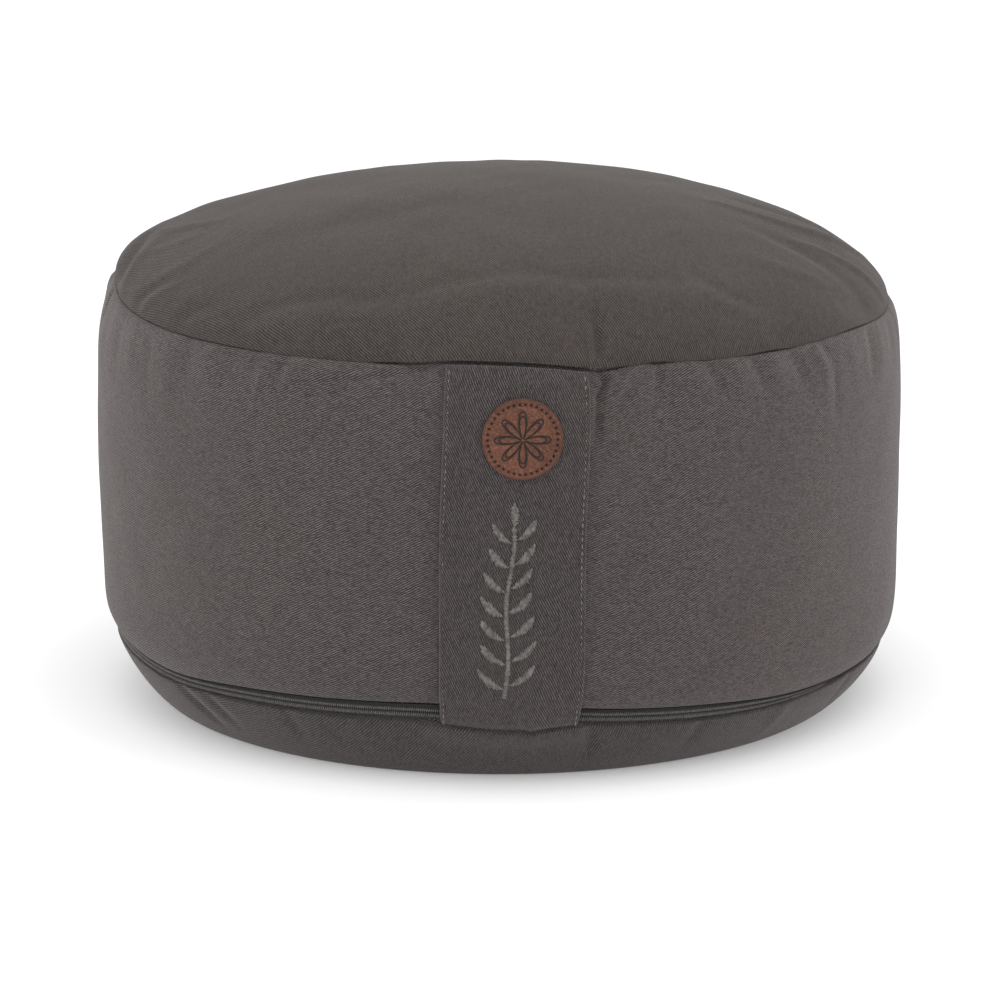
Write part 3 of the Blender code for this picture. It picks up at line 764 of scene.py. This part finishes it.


# The number after the weave's turn sets how strong the weave's painted shade and the yarns' uneven tone are
PANEL_TWILL = twill_cloth("charcoal_twill_panel", (0.0445, 0.0378, 0.0349), 11.0, 0.74, 0.14, 1.13)
BASE_TWILL = twill_cloth("charcoal_twill_base", (0.0372, 0.0325, 0.0322), 4.0, 1.35, 0.22, 1.25)
BAND_TWILL = twill_cloth("charcoal_twill_band", (0.0462, 0.0396, 0.0393), 90.0, 1.85)
STRAP_TWILL = twill_cloth("charcoal_twill_handle", (0.0366, 0.0319, 0.0315), 0.0, 1.7)

# cushion


def level_of(share):
    """A level on the base's side, as a share of the way up to the zip's slot."""
    return lambda azimuth: share * slot_floor(azimuth)


def reach_of(rows, start):
    """How far over the cloth each ring is, from the middle."""
    lengths = [start]
    for a, b in zip(rows[:-1], rows[1:]):
        lengths.append(lengths[-1] + float(np.mean(np.linalg.norm(b - a, axis=1))))
    return lengths


def build_body():
    low = floor_rows((0.5, 0.9, 1.0), UNDER_CLOTH)
    low += ring_rows("foot", [level_of(share) for share in (0.15, 0.4, 0.7, 0.9, 1.0)], UNDER_CLOTH)
    low += ring_rows("foot", [slot_floor], SLOT_DEPTH)
    low += ring_rows("wall", [0.0], SLOT_DEPTH)
    # The band's lower edge is a fold with a round edge
    edge = ring_rows("wall", (0.0, 0.0, 0.001, 0.0035, 0.0075), (1.9, 1.0, 0.42, 0.10, 0.0))
    levels = np.concatenate([np.linspace(0.014, 0.86, 72), np.linspace(0.867, 0.991, 20)])
    wall = ring_rows("wall", levels)
    # Its upper edge rolls in at the seam
    roll = np.outer((0.05, 0.16, 0.42, 0.9, 1.6), seam_roll(AZIMUTHS))
    wall += ring_rows("wall", (0.9945, 0.997, 0.9988, 1.0, 1.0), roll)
    crown = ring_rows("crown", (0.0, 0.05, 0.12, 0.2, 0.3, 0.42, 0.55, 0.7, 0.85, 0.93), UNDER_CLOTH)
    rings = low + edge + wall + crown
    ends = np.append(AZIMUTHS, 180.0) * GIRTH
    uv = [np.stack([ends, np.full(len(ends), length)], axis=1) for length in reach_of(rings, 0.0)]
    first, last = (0.0, 0.0, UNDER_CLOTH), (0.0, 0.0, CROWN_TOP - UNDER_CLOTH)
    body = ring_piece("filled_body_cloth", first, rings, last, uv, BAND_TWILL)
    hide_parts("filled_body")
    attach(body, "root")


def round_panel(name, outer, inner, heights, start, material):
    """A round cloth panel between poles at two heights, and how wide it is when it is laid flat.
    Its weave runs straight out from the middle by the length over the cloth."""
    steps = reach_of(outer, start)
    back = [max(steps[-1] + CLOTH - length + steps[0], 1.0) for length in reach_of(inner, steps[0])]
    turn = np.radians(np.append(AZIMUTHS, 180.0))
    uv = [np.stack([far * np.sin(turn), -far * np.cos(turn)], axis=1) for far in steps + back]
    first, last = ((0.0, 0.0, height) for height in heights)
    return ring_piece(name, first, outer + inner, last, uv, material), 2 * steps[-1] * MM


def build_top_panel():
    levels = np.concatenate([[0.0, 0.003, 0.0075, 0.013, 0.020], np.linspace(0.028, 0.985, 100)])
    # The panel's edge rolls in at the seam, and is lifted where the seam gapes
    insets = np.concatenate([[1.1, 0.55, 0.22, 0.06, 0.0], np.zeros(100)])
    outer = ring_rows("crown", levels, np.outer(insets, seam_roll(AZIMUTHS)))[::-1]
    inner = ring_rows("crown", (0.004, 0.02, 0.08, 0.2, 0.4, 0.6, 0.8, 0.93), CLOTH)
    for share, ring in zip((1.0, 1.0, 0.9, 0.75, 0.6, 0.45), (inner[0], *outer[::-1])):
        ring[:, 2] += share * seam_gape(AZIMUTHS)
    middle = float(np.mean(np.linalg.norm(outer[0][:, :2], axis=1)))
    panel, across = round_panel("top_panel_cloth", outer, inner, (CROWN_TOP, CROWN_TOP - CLOTH), middle,
                                PANEL_TWILL)
    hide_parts("top_panel")
    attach(panel, "root")
    math.pi * (across / 2) ** 2


def build_base_panel():
    shares = np.concatenate([np.linspace(0.02, 0.985, 34), [0.992, 1.0]])
    insets = np.concatenate([np.zeros(34), [0.15, 0.8]])
    floor_shares = (0.15, 0.4, 0.65, 0.85, 0.95, 1.0)
    outer = floor_rows(floor_shares, 0.0)
    outer += ring_rows("foot", [level_of(share) for share in shares], insets)
    inner = ring_rows("foot", [level_of(share) for share in (1.0, 0.9, 0.7, 0.4, 0.15)], CLOTH)
    inner += floor_rows((1.0, 0.85, 0.4), CLOTH)
    panel, across = round_panel("base_panel_cloth", outer, inner, (0.0, CLOTH), floor_shares[0] * FOOT_RADIUS,
                                BASE_TWILL)
    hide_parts("base_panel")
    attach(panel, "root")
    math.pi * (across / 2) ** 2


build_body()
build_top_panel()
build_base_panel()

# handle and patch

# Lines down the handle's face: its side (1 is the right), how far in from that edge, half width,
# height, and whether the line fades out on the way down
STRAP_LINES = (
    (1, 1.9, 0.55, -0.34, False),
    (1, 0.9, 0.7, 0.20, False),
    (1, 3.4, 0.9, -0.072, False),
    (-1, 6.4, 0.7, 0.50, True),
    (-1, 8.0, 1.1, -0.30, True),
    (-1, 1.7, 0.5, -0.26, False),
    (-1, 1.2, 1.0, 0.18, False),
)

# Soft dents and swells of the face: way down, place across, half height, height
STRAP_DENTS = (
    (47, 15, 2.6, -0.35),
    (44, 15, 2.2, 0.25),
    (126, 16, 2.2, -0.30),
    (12, -2, 3.5, -0.45),
    (30, 6, 6.0, 0.15),
    (76, -17, 5.0, -0.2),
)
DENT_HALF_WIDTH = 13.0
STRAP_RIM = 1.25
STRAP_EDGE = 0.12


def strap_place(down, across):
    """Place on the handle's back: down the wall from the top seam, then over the zip to the base's seam.
    The strip bridges the band's lower edge in a soft bend."""
    middle = STRAP_TOP_AZIMUTH + (STRAP_LOW_AZIMUTH - STRAP_TOP_AZIMUTH) * down
    azimuth = middle + across / GIRTH
    tall = top_seam(azimuth) - zip_edge(azimuth)
    low = slot_height(azimuth) + STRAP_TUCK
    length = down * (tall + low)
    bend = 4.5 * bell(length - tall, 7.0)
    points = 0.0
    facing = 0.0
    for step in (-1.0, -0.5, 0.0, 0.5, 1.0):
        distance = length + step * bend
        on_wall = (distance < tall)[..., None]
        wall, wall_out = surface("wall", azimuth, np.clip(1.0 - distance / tall, 0.0, 1.0))
        over = (distance - tall) / zip_edge(azimuth)
        foot, foot_out = surface("foot", azimuth, np.clip(1.0 - over, 0.0, 1.0))
        points = points + 0.2 * np.where(on_wall, wall, foot)
        facing = facing + 0.2 * np.where(on_wall, wall_out, foot_out)
    return points, unit(facing)


def strap_swell(down, across):
    """Relief of the handle's face over its plain thickness."""
    length = down * STRAP_LENGTH
    fading = np.clip(1.15 - down * 1.5, 0.0, 1.0)
    total = 0.22 * np.sin(length / 17.0 + across / 31.0) * np.sin(across / 19.0 + 0.7)
    for side, inward, half_width, height, fades in STRAP_LINES:
        line = height * bell(0.5 * STRAP_WIDTH - side * across - inward, half_width)
        total = total + (line * fading if fades else line)
    for at, side, half_height, height in STRAP_DENTS:
        total = total + height * bell(length - at, half_height) * bell(across - side, DENT_HALF_WIDTH)
    return total


def strap_wander(down):
    """How far the handle's sides stray from a straight line."""
    return 0.35 * np.sin(down * 9.0 + 0.5)


def build_strap():
    rows = np.concatenate([np.linspace(0.012, 0.05, 10), np.linspace(0.056, 0.95, 120),
                           np.linspace(0.954, 0.998, 16)])
    inside = 0.5 * STRAP_WIDTH - STRAP_RIM
    turn = np.linspace(-math.pi / 2, 0.0, 7)
    rim = -inside + STRAP_RIM * np.sin(turn)
    middle = np.linspace(-inside, inside, 58)[1:-1]
    round_edge = np.concatenate([np.cos(turn), np.ones(len(middle)), np.cos(turn)[::-1]])
    down, across = np.meshgrid(rows, np.concatenate([rim, middle, -rim[::-1]]), indexing="ij")
    # Its end is drawn in and thinner, and dips in under the base's edge
    from_end = (1.0 - down) * STRAP_LENGTH
    from_ends = np.minimum(down, 1.0 - down) * STRAP_LENGTH
    side = across * (1.0 - 0.035 * np.exp(-from_end / 1.6)) + strap_wander(down)
    thick = STRAP_THICKNESS * (1.0 - 0.45 * np.exp(-from_ends / 4.0))
    dip = 3.5 * np.exp(-((from_end / 4.4) ** 1.5))
    relief = strap_swell(down, across) * np.clip(from_ends / 6.0, 0.15, 1.0)
    top = STRAP_EDGE + (thick - STRAP_EDGE + relief) * round_edge
    base, facing = strap_place(down, side)
    outer = base + facing * (GAP + top - dip)[..., None]
    inner = base + facing * (GAP - dip)[..., None]
    uv = np.stack([side, -down * STRAP_LENGTH], axis=-1)
    strap = slab_piece("handle_strap_cloth", outer, inner, STRAP_TWILL, uv)
    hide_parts("handle_strap")
    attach(strap, "root")


def on_strap(across, height, out):
    """A point over the handle's face at a height over the floor, with the way out."""
    across = np.asarray(across, float)
    height = np.asarray(height, float)
    azimuth = across / GIRTH
    low = zip_edge(azimuth)
    high = top_seam(azimuth)
    points, facing = surface("wall", azimuth, np.clip((height - low) / (high - low), 0.0, 1.0))
    return points + facing * np.asarray(out)[..., None], facing


def rosette(x, y):
    """Distance from the lines of a plain eight-petalled rosette, in mm."""
    radius = np.hypot(x, y) + 1e-6
    angle = np.arctan2(y, x)
    least = np.full(x.shape, 9.0)
    for size in (10.3, 8.7):
        rose = size * np.abs(np.cos(4 * angle))
        slope = 4 * size * np.sin(4 * angle) / radius
        least = np.minimum(least, np.abs(radius - rose) / np.sqrt(1.0 + slope ** 2))
    return least


HOLES = 38
HOLE_CIRCLE = 12.9
HOLE_RADIUS = 0.52
ROSETTE_REACH = 10.9
LINE_HALF_WIDTH = 0.32
PATCH_ROUNDING = 0.8
PATCH_BACK_RING = 40


def build_patch():
    count = HOLES * 8
    turn = np.linspace(0.0, 2 * math.pi, count, endpoint=False)
    rim_turn = np.linspace(0.15, math.pi / 2, 7)
    flat = np.concatenate([np.linspace(0.3, ROSETTE_REACH, 60), np.linspace(11.1, 14.1, 22)])
    reach = np.concatenate([flat, PATCH_RADIUS - PATCH_ROUNDING * (1.0 - np.sin(rim_turn))])
    fall = np.concatenate([np.zeros(len(flat)), PATCH_ROUNDING * (1.0 - np.cos(rim_turn))])
    r, t = np.meshgrid(reach, turn, indexing="ij")
    wobble = 1.0 + 0.004 * np.sin(3 * t + 1.0) + 0.003 * np.sin(7 * t)
    x, y = r * np.cos(t) * wobble, r * np.sin(t) * wobble
    line = bell(rosette(x, y), LINE_HALF_WIDTH) * (r < ROSETTE_REACH) * (r > 0.6)
    spoke = (turn * HOLES / (2 * math.pi)) % 1.0
    spoke = np.minimum(spoke, 1.0 - spoke) * 2 * math.pi * HOLE_CIRCLE / HOLES
    hole_and_shade = bell(np.hypot(r - HOLE_CIRCLE, spoke[None, :]), HOLE_RADIUS)
    groove = bell(r - HOLE_CIRCLE, 0.8)
    top = PATCH_THICKNESS - fall[:, None] - 0.22 * line - 0.75 * hole_and_shade - 0.14 * groove
    top += 0.05 * np.sin(x / 3.1) * np.sin(y / 2.7 + 1.0)
    face = GAP + STRAP_THICKNESS + GAP
    middle = PATCH_AZIMUTH * GIRTH
    shown, _ = on_strap(middle + x, PATCH_HEIGHT + y, face + top)
    back = [-1, PATCH_BACK_RING]
    hidden, _ = on_strap(middle + x[back], PATCH_HEIGHT + y[back], np.full((2, count), face))
    first = on_strap(middle, PATCH_HEIGHT, face + PATCH_THICKNESS)[0]
    last = on_strap(middle, PATCH_HEIGHT, face)[0]
    ends = np.append(turn, 2 * math.pi)
    uv = [np.stack([far * np.cos(ends), far * np.sin(ends)], axis=1) for far in (*reach, reach[-1], 5.0)]
    patch = ring_piece("leather_patch_face", first, [*shown, *hidden], last, uv, brown_leather())
    pad = np.zeros(2 * count)
    # These maps go to the leather's colour, where the pressed lines and the stitch holes also get painted shade
    for name, grid in (("pressed_line_and_shade", line), ("hole_and_shade", hole_and_shade), ("rim", np.clip((r - 13.4) / 1.4, 0.0, 1.0))):
        store = patch.data.attributes.new(name, "FLOAT", "POINT")
        store.data.foreach_set("value", np.concatenate([[0.0], grid.ravel(), pad, [0.0]]).astype(np.float32))
    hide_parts("leather_patch")
    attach(patch, "root")


build_strap()
build_patch()

# threads and zip


def strand(name, length, width, height, dip, steps=7, sides=6):
    """One short thread along X that rises from the cloth and dips back into it."""
    part = np.linspace(0.0, 1.0, steps)[:, None]
    bulge = np.maximum(np.sin(math.pi * part), 0.0)
    half = 0.5 * width * (0.30 + 0.70 * bulge ** 0.5)
    turn = np.linspace(0.0, 2 * math.pi, sides, endpoint=False)
    along = np.broadcast_to(length * (part - 0.5), (steps, sides))
    rise = height * bulge ** 0.6 - dip * (1 - bulge)
    points = np.stack([along, half * np.cos(turn), rise + half * np.sin(turn)], axis=-1)
    index = np.arange(steps * sides).reshape(steps, sides)
    after = np.roll(index, -1, axis=1)
    walls = np.stack([index[:-1], index[1:], after[1:], after[:-1]], axis=-1).reshape(-1, 4)
    faces = walls.tolist() + [index[0].tolist(), index[-1, ::-1].tolist()]
    return make_mesh(name, points.reshape(-1, 3), faces, start=(0.0, 0.0, 0.0))


def laying_tree():
    """Nodes that lay one piece at every point, turned by the point's facing and heading."""
    nodes = Nodes(bpy.data.node_groups.new("lay_pieces", "GeometryNodeTree"))
    for name, kind in (("Points", "Geometry"), ("Piece", "Object"), ("Unevenness", "Float"), ("Seed", "Int"),
                       ("Finish", "Material")):
        nodes.tree.interface.new_socket(name, in_out="INPUT", socket_type="NodeSocket" + kind)
    nodes.tree.interface.new_socket("Laid", in_out="OUTPUT", socket_type="NodeSocketGeometry")
    given = nodes.tree.nodes.new("NodeGroupInput").outputs
    points, piece, unevenness, seed, finish = (Wire(nodes, socket) for socket in given[:5])

    def named(name):
        return nodes.node("GeometryNodeInputNamedAttribute", {"data_type": "FLOAT_VECTOR"}, Name=name)

    turn = nodes.node("FunctionNodeAxesToRotation", {"primary_axis": "Z", "secondary_axis": "X"},
                      Primary_Axis=named("facing"), Secondary_Axis=named("heading"))
    chance = nodes.node("FunctionNodeRandomValue", {"data_type": "FLOAT"}, 1, Min=1.0 - unevenness,
                        Max=1.0 + unevenness, Seed=seed)
    shape = nodes.node("GeometryNodeObjectInfo", output="Geometry", Object=piece)
    laid = nodes.node("GeometryNodeInstanceOnPoints", Points=points, Instance=shape, Rotation=turn,
                      Scale=nodes.scale(named("span"), chance))
    real = nodes.node("GeometryNodeRealizeInstances", Geometry=laid)
    coated = nodes.node("GeometryNodeSetMaterial", Geometry=real, Material=finish)
    nodes.feed(nodes.tree.nodes.new("NodeGroupOutput").inputs["Laid"], coated)
    return nodes.tree


LAYING = laying_tree()


def lay_pieces(name, piece, points, facing, heading, span, material, unevenness, seed, slot):
    """Lays copies of a small piece at points in millimetres and returns them as one plain mesh."""
    holder = make_mesh(name + "_points", points, [])
    vectors = {"facing": facing, "heading": heading, "span": span}
    for label, values in vectors.items():
        store = holder.data.attributes.new(label, "FLOAT_VECTOR", "POINT")
        store.data.foreach_set("vector", np.asarray(values, np.float32).ravel())
    modifier = holder.modifiers.new("lay", "NODES")
    modifier.node_group = LAYING
    given = {"Piece": piece, "Unevenness": unevenness, "Seed": seed, "Finish": material}
    for item in LAYING.interface.items_tree:
        if item.name in given:
            modifier[item.identifier] = given[item.name]
    mesh = bpy.data.meshes.new_from_object(holder.evaluated_get(bpy.context.evaluated_depsgraph_get()))
    mesh.name = name
    for label in vectors:
        if label in mesh.attributes:
            mesh.attributes.remove(mesh.attributes[label])
    bpy.data.objects.remove(holder)
    bpy.data.objects.remove(piece)
    laid = add_object(name, mesh)
    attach(laid, "root")
    return laid


def build_patch_stitches():
    turn = (np.arange(HOLES) + 0.5) * 2 * math.pi / HOLES
    middle = PATCH_AZIMUTH * GIRTH
    out = 2 * GAP + STRAP_THICKNESS + PATCH_THICKNESS - 0.12

    def at(angle):
        return on_strap(middle + HOLE_CIRCLE * np.cos(angle), PATCH_HEIGHT + HOLE_CIRCLE * np.sin(angle), out)

    points, facing = at(turn)
    ahead = at(turn + 0.02)[0] - at(turn - 0.02)[0]
    gap = 2 * math.pi * HOLE_CIRCLE / HOLES
    piece = strand("stitch_piece", gap * 0.50, 0.36, 0.02, 0.30)
    tan = thread("patch_thread", (0.040, 0.014, 0.010), (0.120, 0.052, 0.036))
    lay_pieces("patch_stitches", piece, points, facing, ahead, np.ones((HOLES, 3)), tan, 0.06, 5,
               "brown_leather")


def build_handle_stitches():
    start, end, spacing = 0.02, 0.975, 2.7
    count = int((end - start) * STRAP_LENGTH / spacing)
    down = start + (end - start) * (np.arange(count) + 0.5) / count
    rows = []
    for side in (0.5 * STRAP_WIDTH - 1.9, 1.7 - 0.5 * STRAP_WIDTH):
        base, facing = strap_place(down, side + strap_wander(down))
        points = base + facing * (GAP + STRAP_THICKNESS - 0.30)
        rows.append((points, facing, unit(np.gradient(points, axis=0))))
    points, facing, ahead = (np.concatenate(part) for part in zip(*rows))
    piece = strand("stitch_piece", 2.25, 0.42, 0.16, 0.30)
    grey = thread("handle_thread", (0.085, 0.078, 0.075), (0.190, 0.176, 0.170))
    lay_pieces("handle_stitches", piece, points, facing, ahead, np.ones((len(points), 3)), grey, 0.05, 6,
               "charcoal_twill_strap")


def satin_row(path, width_at, lean=0.0, pitch=0.34):
    """Threads laid side by side across a path on the handle: places, ways across and lengths."""
    path = np.asarray(path, float)
    far = np.concatenate([[0.0], np.cumsum(np.linalg.norm(np.diff(path, axis=0), axis=1))])
    count = max(int(far[-1] / pitch), 2)
    at = (np.arange(count) + 0.5) / count * far[-1]
    spots = np.stack([np.interp(at, far, path[:, 0]), np.interp(at, far, path[:, 1])], axis=1)
    way = unit(np.gradient(spots, axis=0))
    side = np.stack([-way[:, 1], way[:, 0]], axis=1) * math.cos(lean) + way * math.sin(lean)
    return spots, side, width_at(at / far[-1])


def build_leaf_sprig():
    """A satin-stitched sprig with paired leaves, in a lighter grey thread than the cloth."""
    base = np.array((1.9, 39.0))
    top = np.array((5.4, 110.5))
    stem_share = 0.93
    pairs = 7

    def spine(share):
        return base + (top - base) * share + (0.9 * math.sin(share * 2 * math.pi * 1.5), 0.0)

    def leaf_width(part):
        return 0.4 + 3.3 * np.sin(math.pi * np.clip(part, 0.02, 0.98)) ** 0.75

    stem = [spine(share) for share in np.linspace(0.0, stem_share, 60)]
    rows = [satin_row(stem, lambda part: 1.9 + 0.0 * part)]
    for index in range(pairs):
        foot = spine(0.06 + index * 0.132)
        size = 12.2 - 0.35 * index
        tilt = math.radians(38 + 1.5 * index)
        for hand in (-1, 1):
            start = foot + (hand * 1.2, 0.8 if hand > 0 else -0.6)
            bend, tip = (start + far * size * np.array([hand * math.cos(slope), math.sin(slope)])
                         for far, slope in ((0.5, tilt - 0.22), (1.0, tilt)))
            rows.append(satin_row(curve_through(start, bend, tip, 20), leaf_width, lean=hand * 0.45))
    foot = spine(stem_share)
    rows.append(satin_row(curve_through(foot, foot + (0.3, 5.0), foot + (0.2, 9.5), 20), leaf_width, lean=0.4))
    spots, sides, widths = (np.concatenate(part) for part in zip(*rows))
    out = np.full(len(spots), GAP + STRAP_THICKNESS + 0.02)
    points, facing = on_strap(*spots.T, out)
    ahead = on_strap(*(spots + 0.5 * sides).T, out)[0] - points
    span = np.stack([widths, np.ones(len(widths)), 0.75 + 0.10 * widths], axis=1)
    piece = strand("satin_piece", 1.0, 0.36, 0.42, 0.10, steps=6, sides=5)
    silver = thread("satin_thread", (0.058, 0.053, 0.047), (0.215, 0.200, 0.178), 0.42, 0.2)
    lay_pieces("satin_sprig", piece, points, facing, ahead, span, silver, 0.26, 7, "charcoal_twill_strap")


SLOT_MARGIN = 0.8
TAPE_THICKNESS = 0.9
TAPE_OUT = -(SLOT_DEPTH - GAP - TAPE_THICKNESS)
COIL_PITCH = 0.85
COIL_REACH = 2.1


def slot_middle(azimuth, up, out):
    """A point in the zip slot, up from its middle line and out from the cushion's face."""
    tall = zip_edge(azimuth)
    level = 1.0 - 0.5 * slot_height(azimuth) / tall + up / tall
    return surface("foot", azimuth, level, np.full(np.shape(azimuth), float(out)))


def half_slot(azimuth):
    """Half the height that the zip has in its slot."""
    return 0.5 * (slot_height(azimuth) - SLOT_MARGIN)


def zip_azimuths(count, shift=0.0, short=0.0):
    """Evenly spaced places along the zip, some degrees short of both its ends."""
    share = (np.arange(count) + 0.5 + shift) / count
    return ZIP_START + short + (ZIP_END - ZIP_START - 2 * short) * share


def build_zip():
    azimuth = np.linspace(ZIP_START, ZIP_END, 420)
    ups = [half_slot(azimuth) * share for share in np.linspace(-1.0, 1.0, 9)]
    outer, inner = (np.stack([slot_middle(azimuth, up, out)[0] for up in ups], axis=1)
                    for out in (TAPE_OUT, TAPE_OUT - TAPE_THICKNESS))
    uv = np.stack([np.stack([azimuth * GIRTH] * len(ups), axis=1), np.stack(ups, axis=1)], axis=-1)
    tape = slab_piece("zip_tape_weave", outer, inner, zip_tape_cloth(), uv)
    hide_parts("zip_tape")
    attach(tape, "root")

    # Two rows of coil turns that close in the middle, and the sewing that holds each to its tape
    length = (ZIP_END - ZIP_START) * GIRTH * LOW_SEAM_RADIUS / WIDEST_RADIUS
    turns = int(length / COIL_PITCH)
    stitches = int(length / 1.9)
    coil_rows, sewing_rows = [], []
    for row in (-1, 1):
        at = zip_azimuths(turns, 0.25 * row)
        reach = np.minimum(COIL_REACH, half_slot(at))
        points, facing = slot_middle(at, row * reach * 0.52, TAPE_OUT + GAP + 0.55)
        up = unit(slot_middle(at, row * reach * 0.9, TAPE_OUT + GAP + 0.55)[0] - points)
        along = unit(slot_middle(at + 0.05, row * reach * 0.52, TAPE_OUT + GAP + 0.55)[0] - points)
        span = np.stack([reach / COIL_REACH, np.ones(turns), np.ones(turns)], axis=1)
        coil_rows.append((points, facing, up + along * 0.32 * row, span))
        at = zip_azimuths(stitches, short=0.5)
        reach = np.minimum(COIL_REACH, half_slot(at))
        points, facing = slot_middle(at, row * reach * 0.66, TAPE_OUT + GAP + 1.15)
        sewing_rows.append((points, facing, unit(np.gradient(points, axis=0)), np.ones((stitches, 3))))
    both_rows = (np.concatenate(part) for part in zip(*coil_rows))
    piece = strand("coil_turn", 1.75, 0.50, 0.42, 0.12)
    coil = lay_pieces("zip_coil_turns", piece, *both_rows, coil_plastic(), 0.08, 8, "zip_coil_plastic")
    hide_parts("zip_coil")
    both_rows = (np.concatenate(part) for part in zip(*sewing_rows))
    piece = strand("zip_sewing_piece", 1.5, 0.30, 0.08, 0.30, steps=5, sides=5)
    grey = thread("zip_thread", (0.050, 0.046, 0.045), (0.120, 0.112, 0.106))
    lay_pieces("zip_sewing", piece, *both_rows, grey, 0.05, 9, "zip_tape_cloth")


build_patch_stitches()
build_handle_stitches()
build_leaf_sprig()
build_zip()
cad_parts["zip_slider"].data.materials.clear()
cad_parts["zip_slider"].data.materials.append(dark_metal())

# floor, light and camera; lengths here are metres

FLOOR_HALF = 6.0
FLOOR_DROP = 0.0002
LIGHT_AIM = (0.0, 0.0, 0.1)

# Name, place, size, watts
LIGHTS = (
    ("top_light", (0.15, -0.4, 1.9), (1.8, 1.5), 13.0),
    ("right_light", (1.5, -0.8, 0.9), (0.9, 1.1), 4.1),
    ("left_light", (-1.6, -0.6, 0.8), (0.8, 1.0), 5.2),
)

# The camera as fitted to the photograph, which is 1000 px wide
PHOTO_WIDTH = 1000.0
FOCAL_PIXELS = 3932.7
SENSOR_WIDTH = 36.0
CAMERA_PLACE = (0.00041, -1.6 + AXIS_BACK * MM, 0.45711)
CAMERA_PITCH = 0.234


def build_stage():
    mesh = bpy.data.meshes.new("floor")
    corners = [(x * FLOOR_HALF, y * FLOOR_HALF, 0) for x, y in ((-1, -1), (1, -1), (1, 1), (-1, 1))]
    mesh.from_pydata(corners, [], [(0, 1, 2, 3)])
    mesh.materials.append(pale_floor())
    floor = add_object("floor", mesh)
    floor.location = (0.0, 0.0, -FLOOR_DROP)
    world = bpy.data.worlds.new("white_room")
    bpy.context.scene.world = world
    world.use_nodes = True
    sky = world.node_tree.nodes["Background"]
    sky.inputs["Color"].default_value = (1.0, 1.0, 1.0, 1.0)
    sky.inputs["Strength"].default_value = 1.0
    for name, spot, size, watts in LIGHTS:
        lamp = bpy.data.lights.new(name, "AREA")
        lamp.shape = "RECTANGLE"
        lamp.size, lamp.size_y = size
        lamp.energy = watts
        holder = add_object(name, lamp)
        holder.location = spot
        holder.rotation_euler = (Vector(LIGHT_AIM) - Vector(spot)).to_track_quat("-Z", "Y").to_euler()
    lens = bpy.data.cameras.new("photo_camera")
    lens.sensor_width = SENSOR_WIDTH
    lens.lens = FOCAL_PIXELS * SENSOR_WIDTH / PHOTO_WIDTH
    lens.clip_end = 50.0
    eye = add_object("photo_camera", lens)
    eye.location = CAMERA_PLACE
    eye.rotation_euler = (math.pi / 2 - CAMERA_PITCH, 0.0, 0.0)
    bpy.context.scene.camera = eye
    bpy.context.scene.view_settings.view_transform = "Standard"


build_stage()
